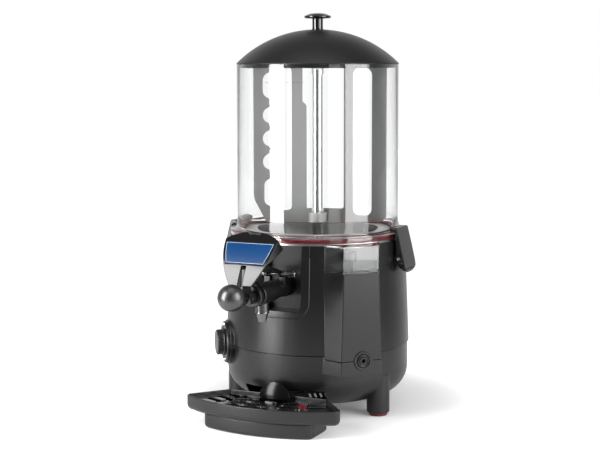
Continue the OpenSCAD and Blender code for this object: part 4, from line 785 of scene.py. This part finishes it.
def makeFloor(s):
    mesh = bmesh.new()
    bmesh.ops.create_grid(mesh, x_segments=1, y_segments=1, size=s["half"])
    obj = pieceFrom("floor", mesh)
    made = Finish("floor white", "", (s["white"],) * 3, s["rough"], Emission_Strength=s["glow"])
    spot = made.place()
    smooth = {"interpolation_type": "SMOOTHSTEP"}
    away = made.node("ShaderNodeVectorMath", {"operation": "LENGTH"}, [spot], out="Value")
    share = made.node("ShaderNodeMapRange", smooth, [away, s["near"], s["far"], 0.0, 1.0])
    outside = made.node("ShaderNodeMapRange", smooth, [away, s["greyNear"], s["greyFar"], 0.0, 1.0])
    behind = made.node("ShaderNodeVectorMath", {"operation": "DOT_PRODUCT"}, [spot, behindView], out="Value")
    mirrored = made.node(
        "ShaderNodeMapRange", {},
        [behind, s["mirrorNear"], s["mirrorFar"], s["mirrored"], s["backMirrored"]],
    )
    seen = made.node("ShaderNodeLightPath", {}, [], out="Is Camera Ray")
    through = seenThrough(made)
    # Glow least near the axis: a painted soft shadow round the base
    glow = (seen + through).clamped(mirrored) * (share * (1 - s["least"]) + s["least"])
    made.paint(
        Roughness=made.noise(s["glossScale"]) * s["gloss"] + s["rough"],
        Base_Color=made.mixed(outside, (s["white"],) * 3, (s["grey"],) * 3),
        Emission_Color=made.mixed(glow, (0.0, 0.0, 0.0), (1.0, 1.0, 1.0)),
    )
    obj.data.materials.append(made.material)


makeFloor(floorSizes)

# Brightness of the studio by direction, for mirrored light: the spans are cosines from the
# direction behind the object, and heights for above
stageLight = {
    "behind": 1.0, "side": 0.18, "front": 0.05, "above": 0.2, "through": 1.02,
    "sideSpan": (-0.5, 0.1), "behindSpan": (0.4, 0.85), "aboveSpan": (0.35, 0.8), "target": (0, 0, 0.3),
    "lamps": [
        # name, azimuth of the direction it stands in, elevation, distance, width, height, strength
        ("left strip", -34.0, 8.0, 1.6, 0.62, 2.0, 15.0),
        ("right strip", 80.0, 8.0, 1.7, 1.1, 2.0, 6.0),
        ("soft fill", 47.0, 8.0, 1.9, 0.55, 1.7, 1.4),
        ("top box", 20.0, 72.0, 1.8, 1.4, 1.4, 1.3),
    ],
}


# Lamps around the object, and a world that is white to the camera and darker to mirrored rays
def makeLight(s):
    target = Vector(s["target"])
    for name, azimuth, elevation, distance, width, height, strength in s["lamps"]:
        lamp = bpy.data.lights.new(name, "AREA")
        lamp.shape = "RECTANGLE"
        lamp.size = width
        lamp.size_y = height
        lamp.energy = strength * width * height * math.pi
        obj = bpy.data.objects.new(name, lamp)
        bpy.context.scene.collection.objects.link(obj)
        a = math.radians(azimuth)
        e = math.radians(elevation)
        outward = Vector((math.sin(a) * math.cos(e), -math.cos(a) * math.cos(e), math.sin(e)))
        obj.location = target + distance * outward
        obj.rotation_euler = (target - obj.location).to_track_quat("-Z", "Y").to_euler()
    world = bpy.data.worlds.new("studio")
    world.use_nodes = True
    bpy.context.scene.world = world
    sky = Graph(world.node_tree)
    shader = world.node_tree.nodes["Background"]
    spot = sky.node("ShaderNodeTexCoord", {}, [], out="Generated")
    share = sky.node("ShaderNodeVectorMath", {"operation": "DOT_PRODUCT"}, [spot, behindView], out="Value")
    height = sky.node("ShaderNodeSeparateXYZ", {}, [spot], out="Z")
    side = sky.node("ShaderNodeMapRange", {}, [share, *s["sideSpan"], s["front"], s["side"]])
    back = sky.node("ShaderNodeMapRange", {}, [share, *s["behindSpan"], 0.0, s["behind"] - s["side"]])
    upward = sky.node("ShaderNodeMapRange", {}, [height, *s["aboveSpan"], 0.0, 1.0])
    around = (side + back) * (1 - upward) + upward * s["above"]
    seen = sky.node("ShaderNodeLightPath", {}, [], out="Is Camera Ray")
    through = seenThrough(sky)
    sky.feed(shader.inputs["Strength"], seen + through * s["through"] + (1 - seen - through) * around)
    shader.inputs["Color"].default_value = (1, 1, 1, 1)


makeLight(stageLight)


def makeCamera(s):
    lens = bpy.data.cameras.new("camera")
    lens.sensor_width = s["sensor"]
    lens.lens = s["focal"] * s["sensor"] / s["frame"]
    lens.clip_end = s["clipEnd"]
    obj = bpy.data.objects.new("camera", lens)
    bpy.context.scene.collection.objects.link(obj)
    a = math.radians(s["azimuth"])
    pitch = math.radians(s["pitch"])
    roll = math.radians(s["roll"])
    level = Vector(behindView)
    side = Vector((math.cos(viewHeading), math.sin(viewHeading), 0))
    rise = Vector((0, 0, 1))
    ahead = level * math.cos(pitch) - rise * math.sin(pitch)
    upward = level * math.sin(pitch) + rise * math.cos(pitch)
    right = side * math.cos(roll) + upward * math.sin(roll)
    upright = -side * math.sin(roll) + upward * math.cos(roll)
    matrix = Matrix((right, upright, -ahead)).transposed().to_4x4()
    matrix.translation = (s["distance"] * math.sin(a), -s["distance"] * math.cos(a), s["height"])
    obj.matrix_world = matrix
    bpy.context.scene.camera = obj


makeCamera(cameraSizes)
bpy.context.scene.view_settings.view_transform = "Standard"
print("scene dressed")
